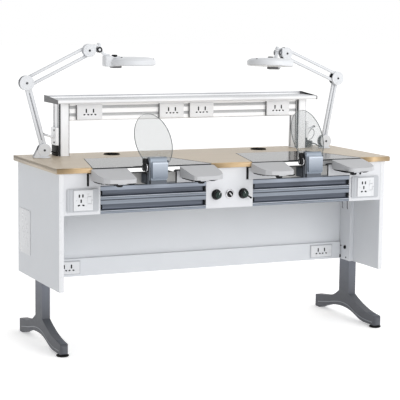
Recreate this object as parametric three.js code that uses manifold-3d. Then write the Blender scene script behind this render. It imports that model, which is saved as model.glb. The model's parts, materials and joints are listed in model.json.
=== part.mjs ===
// Two-seat dental laboratory workbench: T-legs, box side panels, slotted front rails, a beech
// worktop with steel inlays, suction heads with glass shields, hand rests, a shelf with a power
// rail on two posts, and two balanced-arm lamps. Millimetres, +Z up, the user sits on the -Y side.
import * as THREE from 'three';
import { mergeVertices } from 'three/addons/utils/BufferGeometryUtils.js';
import Module from 'manifold-3d';

const wasm = await Module();
wasm.setup();

// ---------------------------------------------------------------- driving dimensions
const GAP = 0.3;                                   // clearance between touching pieces

const top = { width: 1600, depth: 590, height: 797.5, thick: 23, nose: 9 };
const underside = top.height - top.thick;
const panel = { outer: 784.7, thick: 21.5, front: 18.8, back: 572, bottom: 275.5 };
const panelInner = panel.outer - panel.thick;
const column = { inner: 746.2, outer: 782.6, front: 249, back: 340, top: 590 };
const foot = { rear: 576, nose: 4, corner: 16, padY: 33, padR: 27, padHeight: 10 };
const back = {
  front: 343, thick: 18, bottom: 278, top: 700, channelTop: 357.5, channelProud: 12, gap: [60, 580],
};
const apron = {
  bottom: 598, top: 717.5, depth: 42, boxInner: 601.2, control: 113, slotLow: 14, slot: 26, slotDepth: 12,
};
const fascia = { side: 662, middle: 80 };
const station = {
  x: 371.5, plateFront: 273, plateBack: 182, plateDepth: 350, plateThick: 3, lip: 8,
  railTop: 769, opening: 290.5, panelOuter: 280, panelInner: 120, panelSide: 117,
  drawer: 113, drawerDepth: 210, drawerRear: 745,
};
const hood = {
  left: -38, right: 39, front: -62, back: -42, bottom: 724, top: 838, cheek: 6, ductTop: 766,
  mouth: [-30, 20], mouthZ: [749, 763], recess: 6, recessTop: 743,
};
const shield = { radius: 120, thick: 4, centre: [14, 28, 899], yaw: 28, pitch: 18.4, cut: 100 };
const shieldPivot = { y: -47, z: 796, pin: 6 };
const flap = { x: [-31, 38], front: -73, back: -62.4, bottom: 748, top: 820, hinge: 2.8 };
const rest = {
  back: -3, front: -150, rearTop: 793, frontTop: 769, bottom: 752, outer: [282, 276], inner: 120,
  corners: [9, 9, 62, 26],
  studX: 186, studY: -88, stud: 5, travel: 60, tongue: 7,
};
// How far each place's rests are clamped below their highest setting, how much steeper they are set
// and how far they taper in front.
const restSetting = {
  left: { drop: 8, rise: 7, innerFront: 128 },
  right: { drop: 0, rise: 0, innerFront: 140 },
};
const socket = {
  x: 681, z: 661, surround: [140, 97], surroundProud: 3, plate: 86, plateProud: 9, rocker: [16, 30],
  rockerOffset: 27, rockerTilt: 6,
};
const controls = { pitch: 65, z: 658, bezel: 22.5, bezelProud: 2, spindle: 5 };
const post = { inner: 573, outer: 624.5, front: 471, back: 560, top: 1033.7, slot: 6 };
const shelf = { half: 652, front: 424, back: 601, bottom: 1034, thick: 16, lip: 28, cap: 5 };
const powerRail = { front: 492, back: 530, bottom: 953, top: 1030 };
const grommet = { x: 371.5, y: 482, radius: 33 };
// Where each lamp stands and how its arms and head are set, in millimetres and degrees.
const lampPlace = {
  left: { x: 708, toe: -47, lower: 104.7, upper: 26.6, heading: 0, lift: 0 },
  right: { x: 703, toe: -17, lower: 101.6, upper: 22.5, heading: 46, lift: 4.5 },
};
const lamp = {
  y: 440, jointZ: 832, lower: 305, upper: 315, azimuth: 5, baseDisc: 30, elbowDisc: 33, wristDisc: 29,
  hub: 7, arm: 10, cheek: [12, 17], lowerWidth: 31, upperWidth: 50, upperSlot: 22, slotEnd: 30,
  headRadius: 106, headReach: 153, headDrop: 50, yokeReach: 46, yokeRise: 3.5,
};

// How many flats stand for a full circle on each kind of round piece.
const sidesOf = { disc: 24, dish: 36, glass: 44, knob: 20, pin: 14 };

// ---------------------------------------------------------------- finishes
const finish = {
  beech: new THREE.MeshStandardMaterial({ color: 0xc8b195, roughness: 0.5, metalness: 0 }),
  steel: new THREE.MeshStandardMaterial({ color: 0xb9bbbe, roughness: 0.3, metalness: 0.9 }),
  white: new THREE.MeshStandardMaterial({ color: 0xe3e4e6, roughness: 0.45, metalness: 0 }),
  slate: new THREE.MeshStandardMaterial({ color: 0x7b828e, roughness: 0.4, metalness: 0.4 }),
  hoodBlue: new THREE.MeshStandardMaterial({ color: 0x939aa6, roughness: 0.35, metalness: 0.3 }),
  restGrey: new THREE.MeshStandardMaterial({ color: 0xbfc0c2, roughness: 0.5, metalness: 0 }),
  black: new THREE.MeshStandardMaterial({ color: 0x1b1c1e, roughness: 0.5, metalness: 0 }),
  rubber: new THREE.MeshStandardMaterial({ color: 0x121212, roughness: 0.8, metalness: 0 }),
  glass: new THREE.MeshStandardMaterial({ color: 0xe8eef0, roughness: 0.05, metalness: 0 }),
  knobGreen: new THREE.MeshStandardMaterial({ color: 0x14211c, roughness: 0.35, metalness: 0 }),
  chrome: new THREE.MeshStandardMaterial({ color: 0xc8c8ca, roughness: 0.15, metalness: 1 }),
  aluminium: new THREE.MeshStandardMaterial({ color: 0xdfe1e3, roughness: 0.35, metalness: 0.6 }),
  lampWhite: new THREE.MeshStandardMaterial({ color: 0xe9eaec, roughness: 0.4, metalness: 0 }),
};

// ---------------------------------------------------------------- solid helpers
function tidy(geometry) {
  const bare = geometry.clone();
  bare.deleteAttribute('normal');
  bare.deleteAttribute('uv');
  return mergeVertices(bare, 1e-4);
}

function toSolid(geometry) {
  const bare = tidy(geometry);
  return new wasm.Manifold(new wasm.Mesh({
    numProp: 3,
    vertProperties: new Float32Array(bare.attributes.position.array),
    triVerts: new Uint32Array(bare.index.array),
  }));
}

function toGeometry(solid) {
  const mesh = solid.getMesh();
  const geometry = new THREE.BufferGeometry();
  geometry.setAttribute('position', new THREE.BufferAttribute(new Float32Array(mesh.vertProperties), 3));
  geometry.setIndex(new THREE.BufferAttribute(new Uint32Array(mesh.triVerts), 1));
  geometry.computeVertexNormals();
  return geometry;
}

function join(...geometries) {
  return toGeometry(geometries.map(toSolid).reduce((all, next) => all.add(next)));
}

function cut(body, ...tools) {
  return toGeometry(tools.map(toSolid).reduce((all, next) => all.subtract(next), toSolid(body)));
}

function block(x, y, z) {
  const geometry = new THREE.BoxGeometry(
    Math.abs(x[1] - x[0]), Math.abs(y[1] - y[0]), Math.abs(z[1] - z[0]));
  return geometry.translate((x[0] + x[1]) / 2, (y[0] + y[1]) / 2, (z[0] + z[1]) / 2);
}

function outline(points) {
  return new THREE.Shape(points.map(([a, b]) => new THREE.Vector2(a, b)));
}

// A rounded rectangle between two corners.
function roundedOutline(x0, x1, y0, y1, radius) {
  const shape = new THREE.Shape();
  shape.moveTo(x0 + radius, y0);
  shape.lineTo(x1 - radius, y0);
  shape.absarc(x1 - radius, y0 + radius, radius, -Math.PI / 2, 0);
  shape.lineTo(x1, y1 - radius);
  shape.absarc(x1 - radius, y1 - radius, radius, 0, Math.PI / 2);
  shape.lineTo(x0 + radius, y1);
  shape.absarc(x0 + radius, y1 - radius, radius, Math.PI / 2, Math.PI);
  shape.lineTo(x0, y0 + radius);
  shape.absarc(x0 + radius, y0 + radius, radius, Math.PI, Math.PI * 1.5);
  return shape;
}

function extrude(shape, length, segments) {
  return new THREE.ExtrudeGeometry(shape, { depth: length, bevelEnabled: false, curveSegments: segments });
}

// Outline in X-Y, grown along Z.
function alongZ(shape, z0, z1, segments = 5) {
  return extrude(shape, z1 - z0, segments).translate(0, 0, z0);
}

// Outline in Y-Z, grown along X.
function alongX(shape, x0, x1, segments = 5) {
  const toX = new THREE.Matrix4().set(0, 0, 1, 0, 1, 0, 0, 0, 0, 1, 0, 0, 0, 0, 0, 1);
  return extrude(shape, x1 - x0, segments).applyMatrix4(toX).translate(x0, 0, 0);
}

// Outline in X-Z, grown along Y.
function alongY(shape, y0, y1, segments = 5) {
  return extrude(shape, y1 - y0, segments).rotateX(Math.PI / 2).translate(0, y1, 0);
}

// A cylinder from one point to another along one axis.
function rod(axis, radius, centre, from, to, sides = 24) {
  const geometry = new THREE.CylinderGeometry(radius, radius, to - from, sides);
  const mid = (from + to) / 2;
  if (axis === 'x') return geometry.rotateZ(-Math.PI / 2).translate(mid, centre[0], centre[1]);
  if (axis === 'y') return geometry.translate(centre[0], mid, centre[1]);
  return geometry.rotateX(Math.PI / 2).translate(centre[0], centre[1], mid);
}

// A turned body about +Z from [radius, height] pairs that start and end on the axis.
function turned(profile, sides) {
  const points = profile.map(([radius, height]) => new THREE.Vector2(radius, height));
  if (THREE.ShapeUtils.area(points) < 0) points.reverse();
  return new THREE.LatheGeometry(points, sides).rotateX(Math.PI / 2);
}

const bench = new THREE.Group();

function part(name, geometry, material, parent = bench) {
  const mesh = new THREE.Mesh(geometry, material);
  mesh.name = name;
  parent.add(mesh);
  return mesh;
}

const sides = [['left', -1], ['right', 1]];

// Orders two X values so that a block on the -X side is not inside out.
function span(side, inner, outer) {
  return side < 0 ? [-outer, -inner] : [inner, outer];
}

// ---------------------------------------------------------------- worktop and steel inlays
function trapezoid(centre, margin) {
  const s = station;
  return outline([
    [centre - s.plateFront - margin, -1], [centre + s.plateFront + margin, -1],
    [centre + s.plateBack + margin, s.plateDepth + margin],
    [centre - s.plateBack - margin, s.plateDepth + margin],
  ]);
}

function makeWorktop() {
  const section = new THREE.Shape();
  section.moveTo(top.nose, underside);
  section.lineTo(top.depth, underside);
  section.lineTo(top.depth, top.height);
  section.lineTo(top.nose, top.height);
  section.absarc(top.nose, top.height - top.nose, top.nose, Math.PI / 2, Math.PI);
  section.lineTo(0, underside + top.nose);
  section.absarc(top.nose, underside + top.nose, top.nose, Math.PI, Math.PI * 1.5);
  const tools = [];
  for (const [name, side] of sides) {
    const centre = side * station.x;
    const lampX = side * lampPlace[name].x;
    tools.push(alongZ(trapezoid(centre, -8), underside - 1, top.height + 1));
    tools.push(alongZ(trapezoid(centre, 1.5), top.height - station.plateThick - GAP, top.height + 1));
    const middle = [side * grommet.x, grommet.y];
    tools.push(rod('z', grommet.radius, middle, underside - 1, top.height + 1, sidesOf.disc));
    tools.push(rod('z', lamp.hub + 0.6, [lampX, lamp.y], underside - 1, top.height + 1, sidesOf.pin));
  }
  part('worktop', cut(alongX(section, -top.width / 2, top.width / 2, 4), ...tools), finish.beech);
}

function makeSteelInlay(name, side) {
  const centre = side * station.x;
  const s = station;
  const z = [top.height - s.plateThick, top.height];
  const sheet = alongZ(outline([
    [centre - s.plateFront, 0.5], [centre + s.plateFront, 0.5],
    [centre + s.plateBack, s.plateDepth], [centre - s.plateBack, s.plateDepth],
  ]), z[0], z[1]);
  const lipHalf = s.plateFront - 11;
  const lip = block([centre - lipHalf, centre + lipHalf], [0.5, 2.5], [top.height - s.lip, z[1]]);
  part(`steel_inlay_${name}`, join(sheet, lip), finish.steel);
}

// ---------------------------------------------------------------- frame
function makeSidePanel(name, side) {
  const z = [panel.bottom, underside - GAP];
  const slab = block(span(side, panelInner, panel.outer), [panel.front, panel.back], z);
  const cover = block(span(side, column.inner - 2, panelInner + 1), [column.front - 3, column.back + 2.5],
    [panel.bottom, column.top + 6]);
  const pocket = block(span(side, column.inner - GAP, column.outer + GAP),
    [column.front - GAP, column.back + GAP], [panel.bottom - 10, column.top + GAP]);
  part(`side_panel_${name}`, cut(join(slab, cover), pocket), finish.white);
}

function makeLeg(name, side) {
  const profile = new THREE.Shape();
  profile.moveTo(foot.nose, 22);
  profile.quadraticCurveTo(foot.nose, foot.padHeight + GAP, foot.nose + 14, foot.padHeight + GAP);
  profile.lineTo(110, foot.padHeight + GAP);
  profile.bezierCurveTo(175, 14, 200, 48, 300, 48);
  profile.bezierCurveTo(380, 48, 440, 30, 520, 4);
  profile.lineTo(528, 0);
  profile.lineTo(foot.rear - 8, 0);
  profile.bezierCurveTo(foot.rear + 2, 12, foot.rear + 2, 46, foot.rear - 6, 58);
  profile.bezierCurveTo(500, 68, 420, 74, 378, 96);
  profile.lineTo(column.back, 119);
  profile.lineTo(column.front, 117);
  profile.bezierCurveTo(200, 92, 120, 60, foot.nose + 22, 55);
  profile.quadraticCurveTo(foot.nose, 52, foot.nose, 34);
  const width = span(side, column.inner, column.outer);
  const plan = roundedOutline(...width, foot.nose, foot.rear + 3, foot.corner);
  const base = toGeometry(toSolid(alongX(profile, ...width, 7)).intersect(toSolid(alongZ(plan, -1, 130, 4))));
  const upright = block(width, [column.front, column.back], [100, column.top]);
  const stud = rod('z', 6, [side * (column.inner + column.outer) / 2, foot.padY], 5, 30, 16);
  part(`leg_${name}`, cut(join(base, upright), stud), finish.slate);
}

function makeLevellingFoot(name, side) {
  const x = side * (column.inner + column.outer) / 2;
  const pad = turned([[0, 0], [foot.padR - 2, 0], [foot.padR, 3], [foot.padR - 1, foot.padHeight - 2],
    [foot.padR - 5, foot.padHeight - 0.5], [5.4, foot.padHeight - 0.5], [5.4, 28], [0, 28]], sidesOf.knob);
  part(`levelling_foot_${name}`, pad.translate(x, foot.padY, 0), finish.rubber);
}

// The panel carries a proud cable channel along its foot and three upstands under the worktop.
function makeBackPanel() {
  const y = [back.front, back.front + back.thick];
  const half = panelInner - GAP;
  const sheet = block([-half, half], y, [back.bottom, back.top]);
  const clear = column.inner - 4;
  const proud = [back.front - back.channelProud, back.front + 1];
  const channel = block([-clear, clear], proud, [back.bottom, back.channelTop]);
  const [near, far] = back.gap;
  const upstands = [[-half, -far], [-near, near], [far, half]]
    .map((x) => block(x, y, [back.top - 1, underside - GAP]));
  part('back_panel', join(sheet, channel, ...upstands), finish.white);
}

// ---------------------------------------------------------------- front rail
// The wall box of each end: a raised surround, an 86 mm socket plate and a pocket for its rocker.
function makeSocketBox(name, side) {
  const outer = panelInner - GAP;
  const corners = [
    [apron.boxInner, apron.bottom], [outer, apron.bottom], [outer, underside - GAP],
    [fascia.side, underside - GAP], [fascia.side, apron.top], [apron.boxInner, apron.top],
  ];
  const shape = outline(corners.map(([x, z]) => [side * x, z]));
  const body = alongY(shape, panel.front, panel.front + apron.depth);
  const x = side * socket.x;
  const face = (width, height, proud) => alongY(
    roundedOutline(x - width / 2, x + width / 2, socket.z - height / 2, socket.z + height / 2, 4),
    panel.front - proud, panel.front + 1, 3);
  const pocket = rockerBlock(x, 1, [socket.plateProud - 5, socket.plateProud + 5]);
  part(`socket_box_${name}`, cut(
    join(body, face(socket.surround[0], socket.surround[1], socket.surroundProud),
      face(socket.plate, socket.plate, socket.plateProud)), pocket), finish.white);
}

function rockerBlock(plateX, margin, proud) {
  const x = plateX + socket.rockerOffset;
  return block([x - socket.rocker[0] / 2 - margin, x + socket.rocker[0] / 2 + margin],
    [panel.front - proud[1], panel.front - proud[0]],
    [socket.z - socket.rocker[1] / 2 - margin, socket.z + socket.rocker[1] / 2 + margin]);
}

function makeRocker(name, side) {
  const x = side * socket.x + socket.rockerOffset;
  const y = panel.front - socket.plateProud;
  const half = socket.rocker[1] / 2;
  const profile = outline([[y + 2.2, -half + 3], [y + 2.2, half - 3], [y - 0.6, half], [y - 2.6, half - 1],
    [y - 1.2, 0], [y - 2.6, -half + 1], [y - 0.6, -half]]);
  const body = alongX(profile, x - socket.rocker[0] / 2, x + socket.rocker[0] / 2)
    .translate(0, -y, 0).rotateX(THREE.MathUtils.degToRad(socket.rockerTilt)).translate(0, y, socket.z);
  part(`socket_rocker_${name}`, body, finish.lampWhite);
}

// Two stacked T-slot bars, seen as two deep grooves and a fine line between them.
function makeFrontRail(name, side) {
  const front = panel.front;
  const rear = front + apron.depth;
  const z0 = apron.bottom + GAP;
  const bar = (apron.top - apron.bottom - 2 * GAP) / 2;
  const low = apron.slotLow;
  const edge = (z) => [
    [front, z + 1.5], [front, z + low], [front + apron.slotDepth, z + low + 6],
    [front + apron.slotDepth, z + low + apron.slot - 1], [front, z + low + apron.slot], [front, z + bar - 1.5],
  ];
  const profile = outline([
    [rear, z0], [front + 2, z0], ...edge(z0), [front + 2.5, z0 + bar], ...edge(z0 + bar),
    [front + 2, z0 + 2 * bar], [rear, z0 + 2 * bar],
  ]);
  const x = span(side, apron.control + GAP, apron.boxInner - GAP);
  part(`front_rail_${name}`, alongX(profile, x[0], x[1]), finish.slate);
}

function makeControlBox() {
  const shape = outline([
    [-apron.control, apron.bottom], [apron.control, apron.bottom], [apron.control, apron.top],
    [fascia.middle, apron.top], [fascia.middle, underside - GAP], [-fascia.middle, underside - GAP],
    [-fascia.middle, apron.top], [-apron.control, apron.top],
  ]);
  const body = alongY(shape, panel.front, panel.front + apron.depth);
  const bezels = [-1, 0, 1].map((k) => rod('y', controls.bezel, [k * controls.pitch, controls.z],
    panel.front - controls.bezelProud, panel.front + 1, sidesOf.disc));
  const bores = [-1, 0, 1].map((k) => rod('y', controls.spindle + 0.5, [k * controls.pitch, controls.z],
    panel.front - 10, panel.front + 14, 16));
  part('control_box', cut(join(body, ...bezels), ...bores), finish.white);
}

// A control turned about the Y axis, facing the user, with its spindle in the box.
function control(name, k, profile, extra, material) {
  const y = panel.front - controls.bezelProud - GAP;
  const spindle = rod('y', controls.spindle, [0, 0], -1, 11, 16);
  const knob = turned(profile, sidesOf.knob).rotateX(Math.PI / 2);
  const body = join(knob, spindle, ...extra);
  part(name, body.translate(k * controls.pitch, y, controls.z), material);
}

function makeControls() {
  const knob = [[0, 0], [19, 0], [19.5, 3], [18, 19], [16.5, 21], [0, 21]];
  const grip = (angle) => block([-3.5, 3.5], [-26, -19], [-16, 16]).rotateY(angle);
  control('gas_valve_knob', -1, knob, [grip(0.5)], finish.knobGreen);
  const lever = block([0, 36], [-17, -11], [-4, 4]).rotateY(0.55);
  control('air_valve_knob', 1, knob, [grip(-0.4), lever], finish.knobGreen);
  const key = [[0, 0], [13, 0], [13, 6], [10.5, 9], [0, 9]];
  control('power_key_switch', 0, key, [block([-1.5, 1.5], [-15, -8], [-8, 8]).rotateY(-0.75)], finish.chrome);
}

// ---------------------------------------------------------------- work stations
// The white carrier across a station: two fronts with dark recesses beside them, a sill under the
// drawer and a flat tongue under each hand rest with a hole for the clamp stud.
function makeRestCarrier(name, side) {
  const s = station;
  const seat = rest.bottom - restSetting[name].drop;
  const pieces = [block([-s.panelSide, s.panelSide], [32, 46], [apron.top + 0.3, apron.top + 4])];
  const holes = [];
  for (const k of [-1, 1]) {
    pieces.push(block(span(k, s.panelSide - 1, s.opening - 0.5), [40, 46], [apron.top + 0.3, s.railTop]));
    pieces.push(block(span(k, s.panelInner, s.panelOuter), [panel.front, 41], [apron.top + 0.3, s.railTop]));
    pieces.push(alongZ(roundedOutline(...span(k, rest.studX - 22, rest.studX + 22), rest.front + 32, 24, 8),
      seat - 0.4 - rest.tongue, seat - 0.4));
    holes.push(rod('z', rest.stud + 0.5, [k * rest.studX, rest.studY], seat - 20, seat + 2, sidesOf.pin));
  }
  part(`rest_carrier_${name}`, cut(join(...pieces), ...holes), finish.white).position.x = side * s.x;
}

function makeHandRest(name, side, k, { drop, rise, innerFront }) {
  const plan = new THREE.Shape();
  const corners = [[rest.inner, rest.back], [rest.outer[0], rest.back], [rest.outer[1], rest.front],
    [innerFront, rest.front]];
  roundCorners(plan, corners.map(([x, y]) => new THREE.Vector2(k * x, y)), rest.corners);
  const wedge = outline([
    [rest.back, rest.bottom], [rest.back, rest.rearTop + rise],
    [rest.front, rest.frontTop], [rest.front, rest.bottom],
  ]);
  const body = toGeometry(toSolid(alongZ(plan, rest.bottom - 1, rest.rearTop + rise + 1, 3))
    .intersect(toSolid(alongX(wedge, -300, 300))));
  const x = k * rest.studX;
  const slot = block([x - rest.stud - 0.6, x + rest.stud + 0.6],
    [rest.studY - rest.stud - 0.6, rest.studY + rest.stud + rest.travel + 0.6],
    [rest.bottom - 2, rest.bottom + 11]);
  part(`hand_rest_${name}`, cut(body, slot), finish.restGrey).position.set(side * station.x, 0, -drop);
}

// Rounds every corner of a polygon with a quadratic curve.
function roundCorners(shape, points, radii) {
  points.forEach((corner, i) => {
    const radius = radii[i];
    const before = points[(i + points.length - 1) % points.length];
    const after = points[(i + 1) % points.length];
    const enter = corner.clone().add(before.clone().sub(corner).setLength(radius));
    const leave = corner.clone().add(after.clone().sub(corner).setLength(radius));
    if (i === 0) shape.moveTo(enter.x, enter.y);
    else shape.lineTo(enter.x, enter.y);
    shape.quadraticCurveTo(corner.x, corner.y, leave.x, leave.y);
  });
}

function makeRestKnob(name, side, k, { drop }) {
  const under = rest.bottom - 0.4 - rest.tongue - GAP;
  const knob = turned([[0, under - 13], [12, under - 13], [15, under - 10], [15, under - 4], [11, under],
    [rest.stud, under], [rest.stud, rest.bottom + 9], [0, rest.bottom + 9]], sidesOf.knob);
  knob.translate(k * rest.studX, rest.studY, 0);
  part(`rest_knob_${name}`, knob, finish.black).position.set(side * station.x, 0, -drop);
}

// The dust drawer, open at the top, with a window where the suction head blows in.
function makeDrawer(name, side) {
  const s = station;
  const z = [apron.top + 4.5, s.railTop - 5];
  const rear = panel.front + s.drawerDepth;
  const box = block([-s.drawer + 3, s.drawer - 3], [panel.front + 2, rear], z);
  const front = block([-s.drawer, s.drawer], [panel.front, panel.front + 3], [apron.top + 0.5, s.railTop - 3]);
  const inside = block([-s.drawer + 6, s.drawer - 6], [panel.front + 4, rear - 3], [z[0] + 3, z[1] + 9]);
  const window = block([hood.mouth[0], hood.mouth[1]], [panel.front - 5, panel.front + 8], hood.mouthZ);
  const rearDip = block([-s.drawer + 6, s.drawer - 6], [rear - 6, rear + 1], [s.drawerRear, z[1] + 9]);
  const drawer = cut(join(box, front), inside, window, rearDip);
  part(`dust_drawer_${name}`, drawer, finish.restGrey).position.x = side * s.x;
}

// The suction head: an upright nozzle body with a darker cheek and a duct back to the drawer.
function makeHood(name, side) {
  const h = hood;
  const section = (grow) => {
    const shape = new THREE.Shape();
    shape.moveTo(h.front + h.recess - grow, h.bottom);
    shape.lineTo(h.back + grow, h.bottom);
    shape.lineTo(h.back + grow, h.top - 14);
    shape.quadraticCurveTo(h.back + grow, h.top + grow, h.back - 8, h.top + grow);
    shape.quadraticCurveTo(h.front + 7, h.top + grow, h.front + 4, h.top - 10);
    shape.lineTo(h.front - grow, flap.top - 2);
    shape.lineTo(h.front - grow, h.recessTop);
    shape.lineTo(h.front + h.recess - grow, h.recessTop - 3);
    return shape;
  };
  const body = alongX(section(0), h.left, h.right);
  const cheek = alongX(section(1.5), h.left - h.cheek, h.left + 0.5);
  const duct = block([h.left - h.cheek, h.right - 6], [h.back - 1, panel.front - GAP], [h.bottom, h.ductTop]);
  const mouth = block(h.mouth, [h.front - 5, panel.front + 5], h.mouthZ);
  const pivotAt = [shieldPivot.y, shieldPivot.z];
  const pinHole = rod('x', shieldPivot.pin + 0.4, pivotAt, h.left - h.cheek - 5, h.left - 1, 16);
  const lampHole = rod('x', 4, [-52, 818], h.right - 4, h.right + 3, 14);
  part(`suction_head_${name}`, cut(join(body, cheek, duct), mouth, pinHole, lampHole), finish.hoodBlue)
    .position.x = side * station.x;
}

// A blade that covers the mouth and turns about its rounded top edge.
function makeFlap(name, side) {
  const profile = new THREE.Shape();
  profile.moveTo(flap.back, flap.bottom);
  profile.lineTo(flap.back, flap.top - flap.hinge);
  profile.absarc(flap.back - flap.hinge, flap.top - flap.hinge, flap.hinge, 0, Math.PI / 2);
  profile.quadraticCurveTo(flap.front, flap.top, flap.front, flap.top - 10);
  profile.lineTo(flap.front, flap.bottom);
  const face = roundedOutline(...flap.x, flap.bottom, flap.top, 6);
  const body = toGeometry(toSolid(alongX(profile, flap.x[0] - 1, flap.x[1] + 1))
    .intersect(toSolid(alongY(face, flap.front - 1, flap.back + 1))));
  part(`suction_flap_${name}`, body, finish.hoodBlue).position.x = side * station.x;
}

// Local axes of the glass: across, up and out of its face.
function shieldFrame() {
  const yaw = THREE.MathUtils.degToRad(shield.yaw);
  const pitch = THREE.MathUtils.degToRad(shield.pitch);
  const across = new THREE.Vector3(Math.cos(yaw), Math.sin(yaw), 0);
  const level = Math.cos(pitch);
  const out = new THREE.Vector3(Math.sin(yaw) * level, -Math.cos(yaw) * level, Math.sin(pitch));
  const up = out.clone().cross(across);
  return new THREE.Matrix4().makeBasis(across, up, out).setPosition(...shield.centre);
}

function glassDisc(radius, thick, low) {
  const disc = rod('z', radius, [0, 0], -thick / 2, thick / 2, sidesOf.glass);
  const chord = block([-radius - 1, radius + 1], [-radius - 9, -low], [-thick, thick]);
  return cut(disc, chord).applyMatrix4(shieldFrame());
}

function makeShield(name, side) {
  part(`shield_glass_${name}`, glassDisc(shield.radius, shield.thick, shield.cut), finish.glass)
    .position.x = side * station.x;
  const { y, z, pin } = shieldPivot;
  const face = hood.left - hood.cheek - 0.5;
  const boss = rod('x', 20, [y, z], face - 6, face, sidesOf.knob);
  const cap = rod('x', 14, [y, z], face - 20, face - 5, sidesOf.knob);
  const spindle = rod('x', pin, [y, z], face - 2, face + 4.5, 16);
  const arm = block([face - 15, face - 5], [y - 6, y + 15], [z, z + 24]);
  const jaw = block([face - 15, face - 1], [y - 2, y + 20], [z + 16, z + 37]);
  const grip = glassDisc(shield.radius + 0.3, shield.thick + 0.7, shield.cut + 5);
  part(`shield_clamp_${name}`, cut(join(boss, cap, spindle, arm, jaw), grip), finish.black)
    .position.x = side * station.x;
}

// ---------------------------------------------------------------- posts, shelf and power rail
// A square post with a rounded front edge and a T-slot pair on each flank.
function makePost(name, side) {
  const x = span(side, post.inner, post.outer);
  const z = [top.height + GAP, post.top];
  const nose = alongZ(roundedOutline(...x, post.front, post.front + 40, 16), ...z);
  const rear = block(x, [post.front + 17, post.back], z);
  const slots = [];
  for (const y of [post.front + 20, post.back - 16]) {
    for (const face of x) {
      slots.push(block([face - post.slot, face + post.slot], [y - 4, y + 4], [z[0] - 5, z[1] + 5]));
    }
  }
  part(`post_${name}`, cut(join(nose, rear), ...slots), finish.aluminium);
}

function makeShelf() {
  const s = shelf;
  const tray = outline([
    [s.front + 3, s.bottom], [s.back, s.bottom], [s.back, s.bottom + s.lip], [s.back - 10, s.bottom + s.lip],
    [s.back - 12, s.bottom + s.thick], [s.front + 3, s.bottom + s.thick], [s.front, s.bottom + s.thick - 4],
    [s.front, s.bottom + 4],
  ]);
  const cap = outline([
    [s.front - 1, s.bottom - 1], [s.back + 1, s.bottom - 1], [s.back + 1, s.bottom + s.lip + 1],
    [s.back - 22, s.bottom + s.lip + 1], [s.front + 14, s.bottom + s.thick + 2], [s.front - 1, s.bottom + s.thick],
  ]);
  const caps = [-1, 1].map((k) => alongX(cap, ...span(k, s.half - s.cap, s.half)));
  part('shelf', join(alongX(tray, -s.half + 1, s.half - 1), ...caps), finish.aluminium);
}

function makePowerRail() {
  const r = powerRail;
  const groove = (z) => [[r.front, z], [r.front + 6, z + 1], [r.front + 6, z + 13], [r.front, z + 14]];
  const profile = outline([
    [r.back, r.bottom], [r.front + 3, r.bottom], [r.front, r.bottom + 4], ...groove(r.bottom + 19),
    ...groove(r.bottom + 53), [r.front, r.top], [r.back, r.top],
  ]);
  const half = post.inner - GAP;
  part('power_rail', alongX(profile, -half, half), finish.aluminium);
}

// A sliding clamp on the outer face of each post, with a locking lever.
function makePostClamp(name, side) {
  const face = post.outer + GAP;
  const body = block(span(side, face, face + 14), [480, 548], [846, 924]);
  const tongue = block(span(side, face - 5, face + 1), [post.front + 17, post.front + 23], [850, 920]);
  const boss = rod('x', 9, [514, 882], ...span(side, face + 13, face + 24), 20);
  const handle = rod('x', 5, [0, 0], ...span(side, 0, 46), 14).rotateY(side * -0.3)
    .translate(side * (face + 19), 514, 882);
  part(`post_clamp_${name}`, join(body, tongue, boss, handle), finish.slate);
}

// ---------------------------------------------------------------- balanced-arm lamps
// Everything is drawn in the arm plane: +X points from the base towards the head, and each piece
// is placed by the angle of its arm.
function plateBetweenJoints(length, width, slotWidth) {
  const half = width / 2;
  const shape = new THREE.Shape();
  shape.moveTo(0, -half);
  shape.lineTo(length, -half);
  shape.absarc(length, 0, half, -Math.PI / 2, Math.PI / 2);
  shape.lineTo(0, half);
  shape.absarc(0, 0, half, Math.PI / 2, Math.PI * 1.5);
  for (const x of [0, length]) {
    const eye = new THREE.Path();
    eye.absarc(x, 0, lamp.hub + 0.5, 0, Math.PI * 2);
    shape.holes.push(eye);
  }
  if (slotWidth > 0) {
    const slot = new THREE.Path();
    slot.moveTo(lamp.slotEnd, -slotWidth / 2);
    slot.lineTo(lamp.slotEnd, slotWidth / 2);
    slot.lineTo(length - lamp.slotEnd, slotWidth / 2);
    slot.lineTo(length - lamp.slotEnd, -slotWidth / 2);
    shape.holes.push(slot);
  }
  return shape;
}

function cheekPair(z, radius) {
  const [inside, outside] = lamp.cheek;
  const near = rod('y', radius, [0, z], -outside, -inside, sidesOf.disc);
  const far = rod('y', radius, [0, z], inside, outside, sidesOf.disc);
  const hub = rod('y', lamp.hub, [0, z], -inside - 1, inside + 1, sidesOf.pin);
  return [near, far, hub];
}

function armGeometry(plate, angle, y0) {
  return alongY(plate, y0, y0 + lamp.arm, 8).rotateY(-angle);
}

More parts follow.
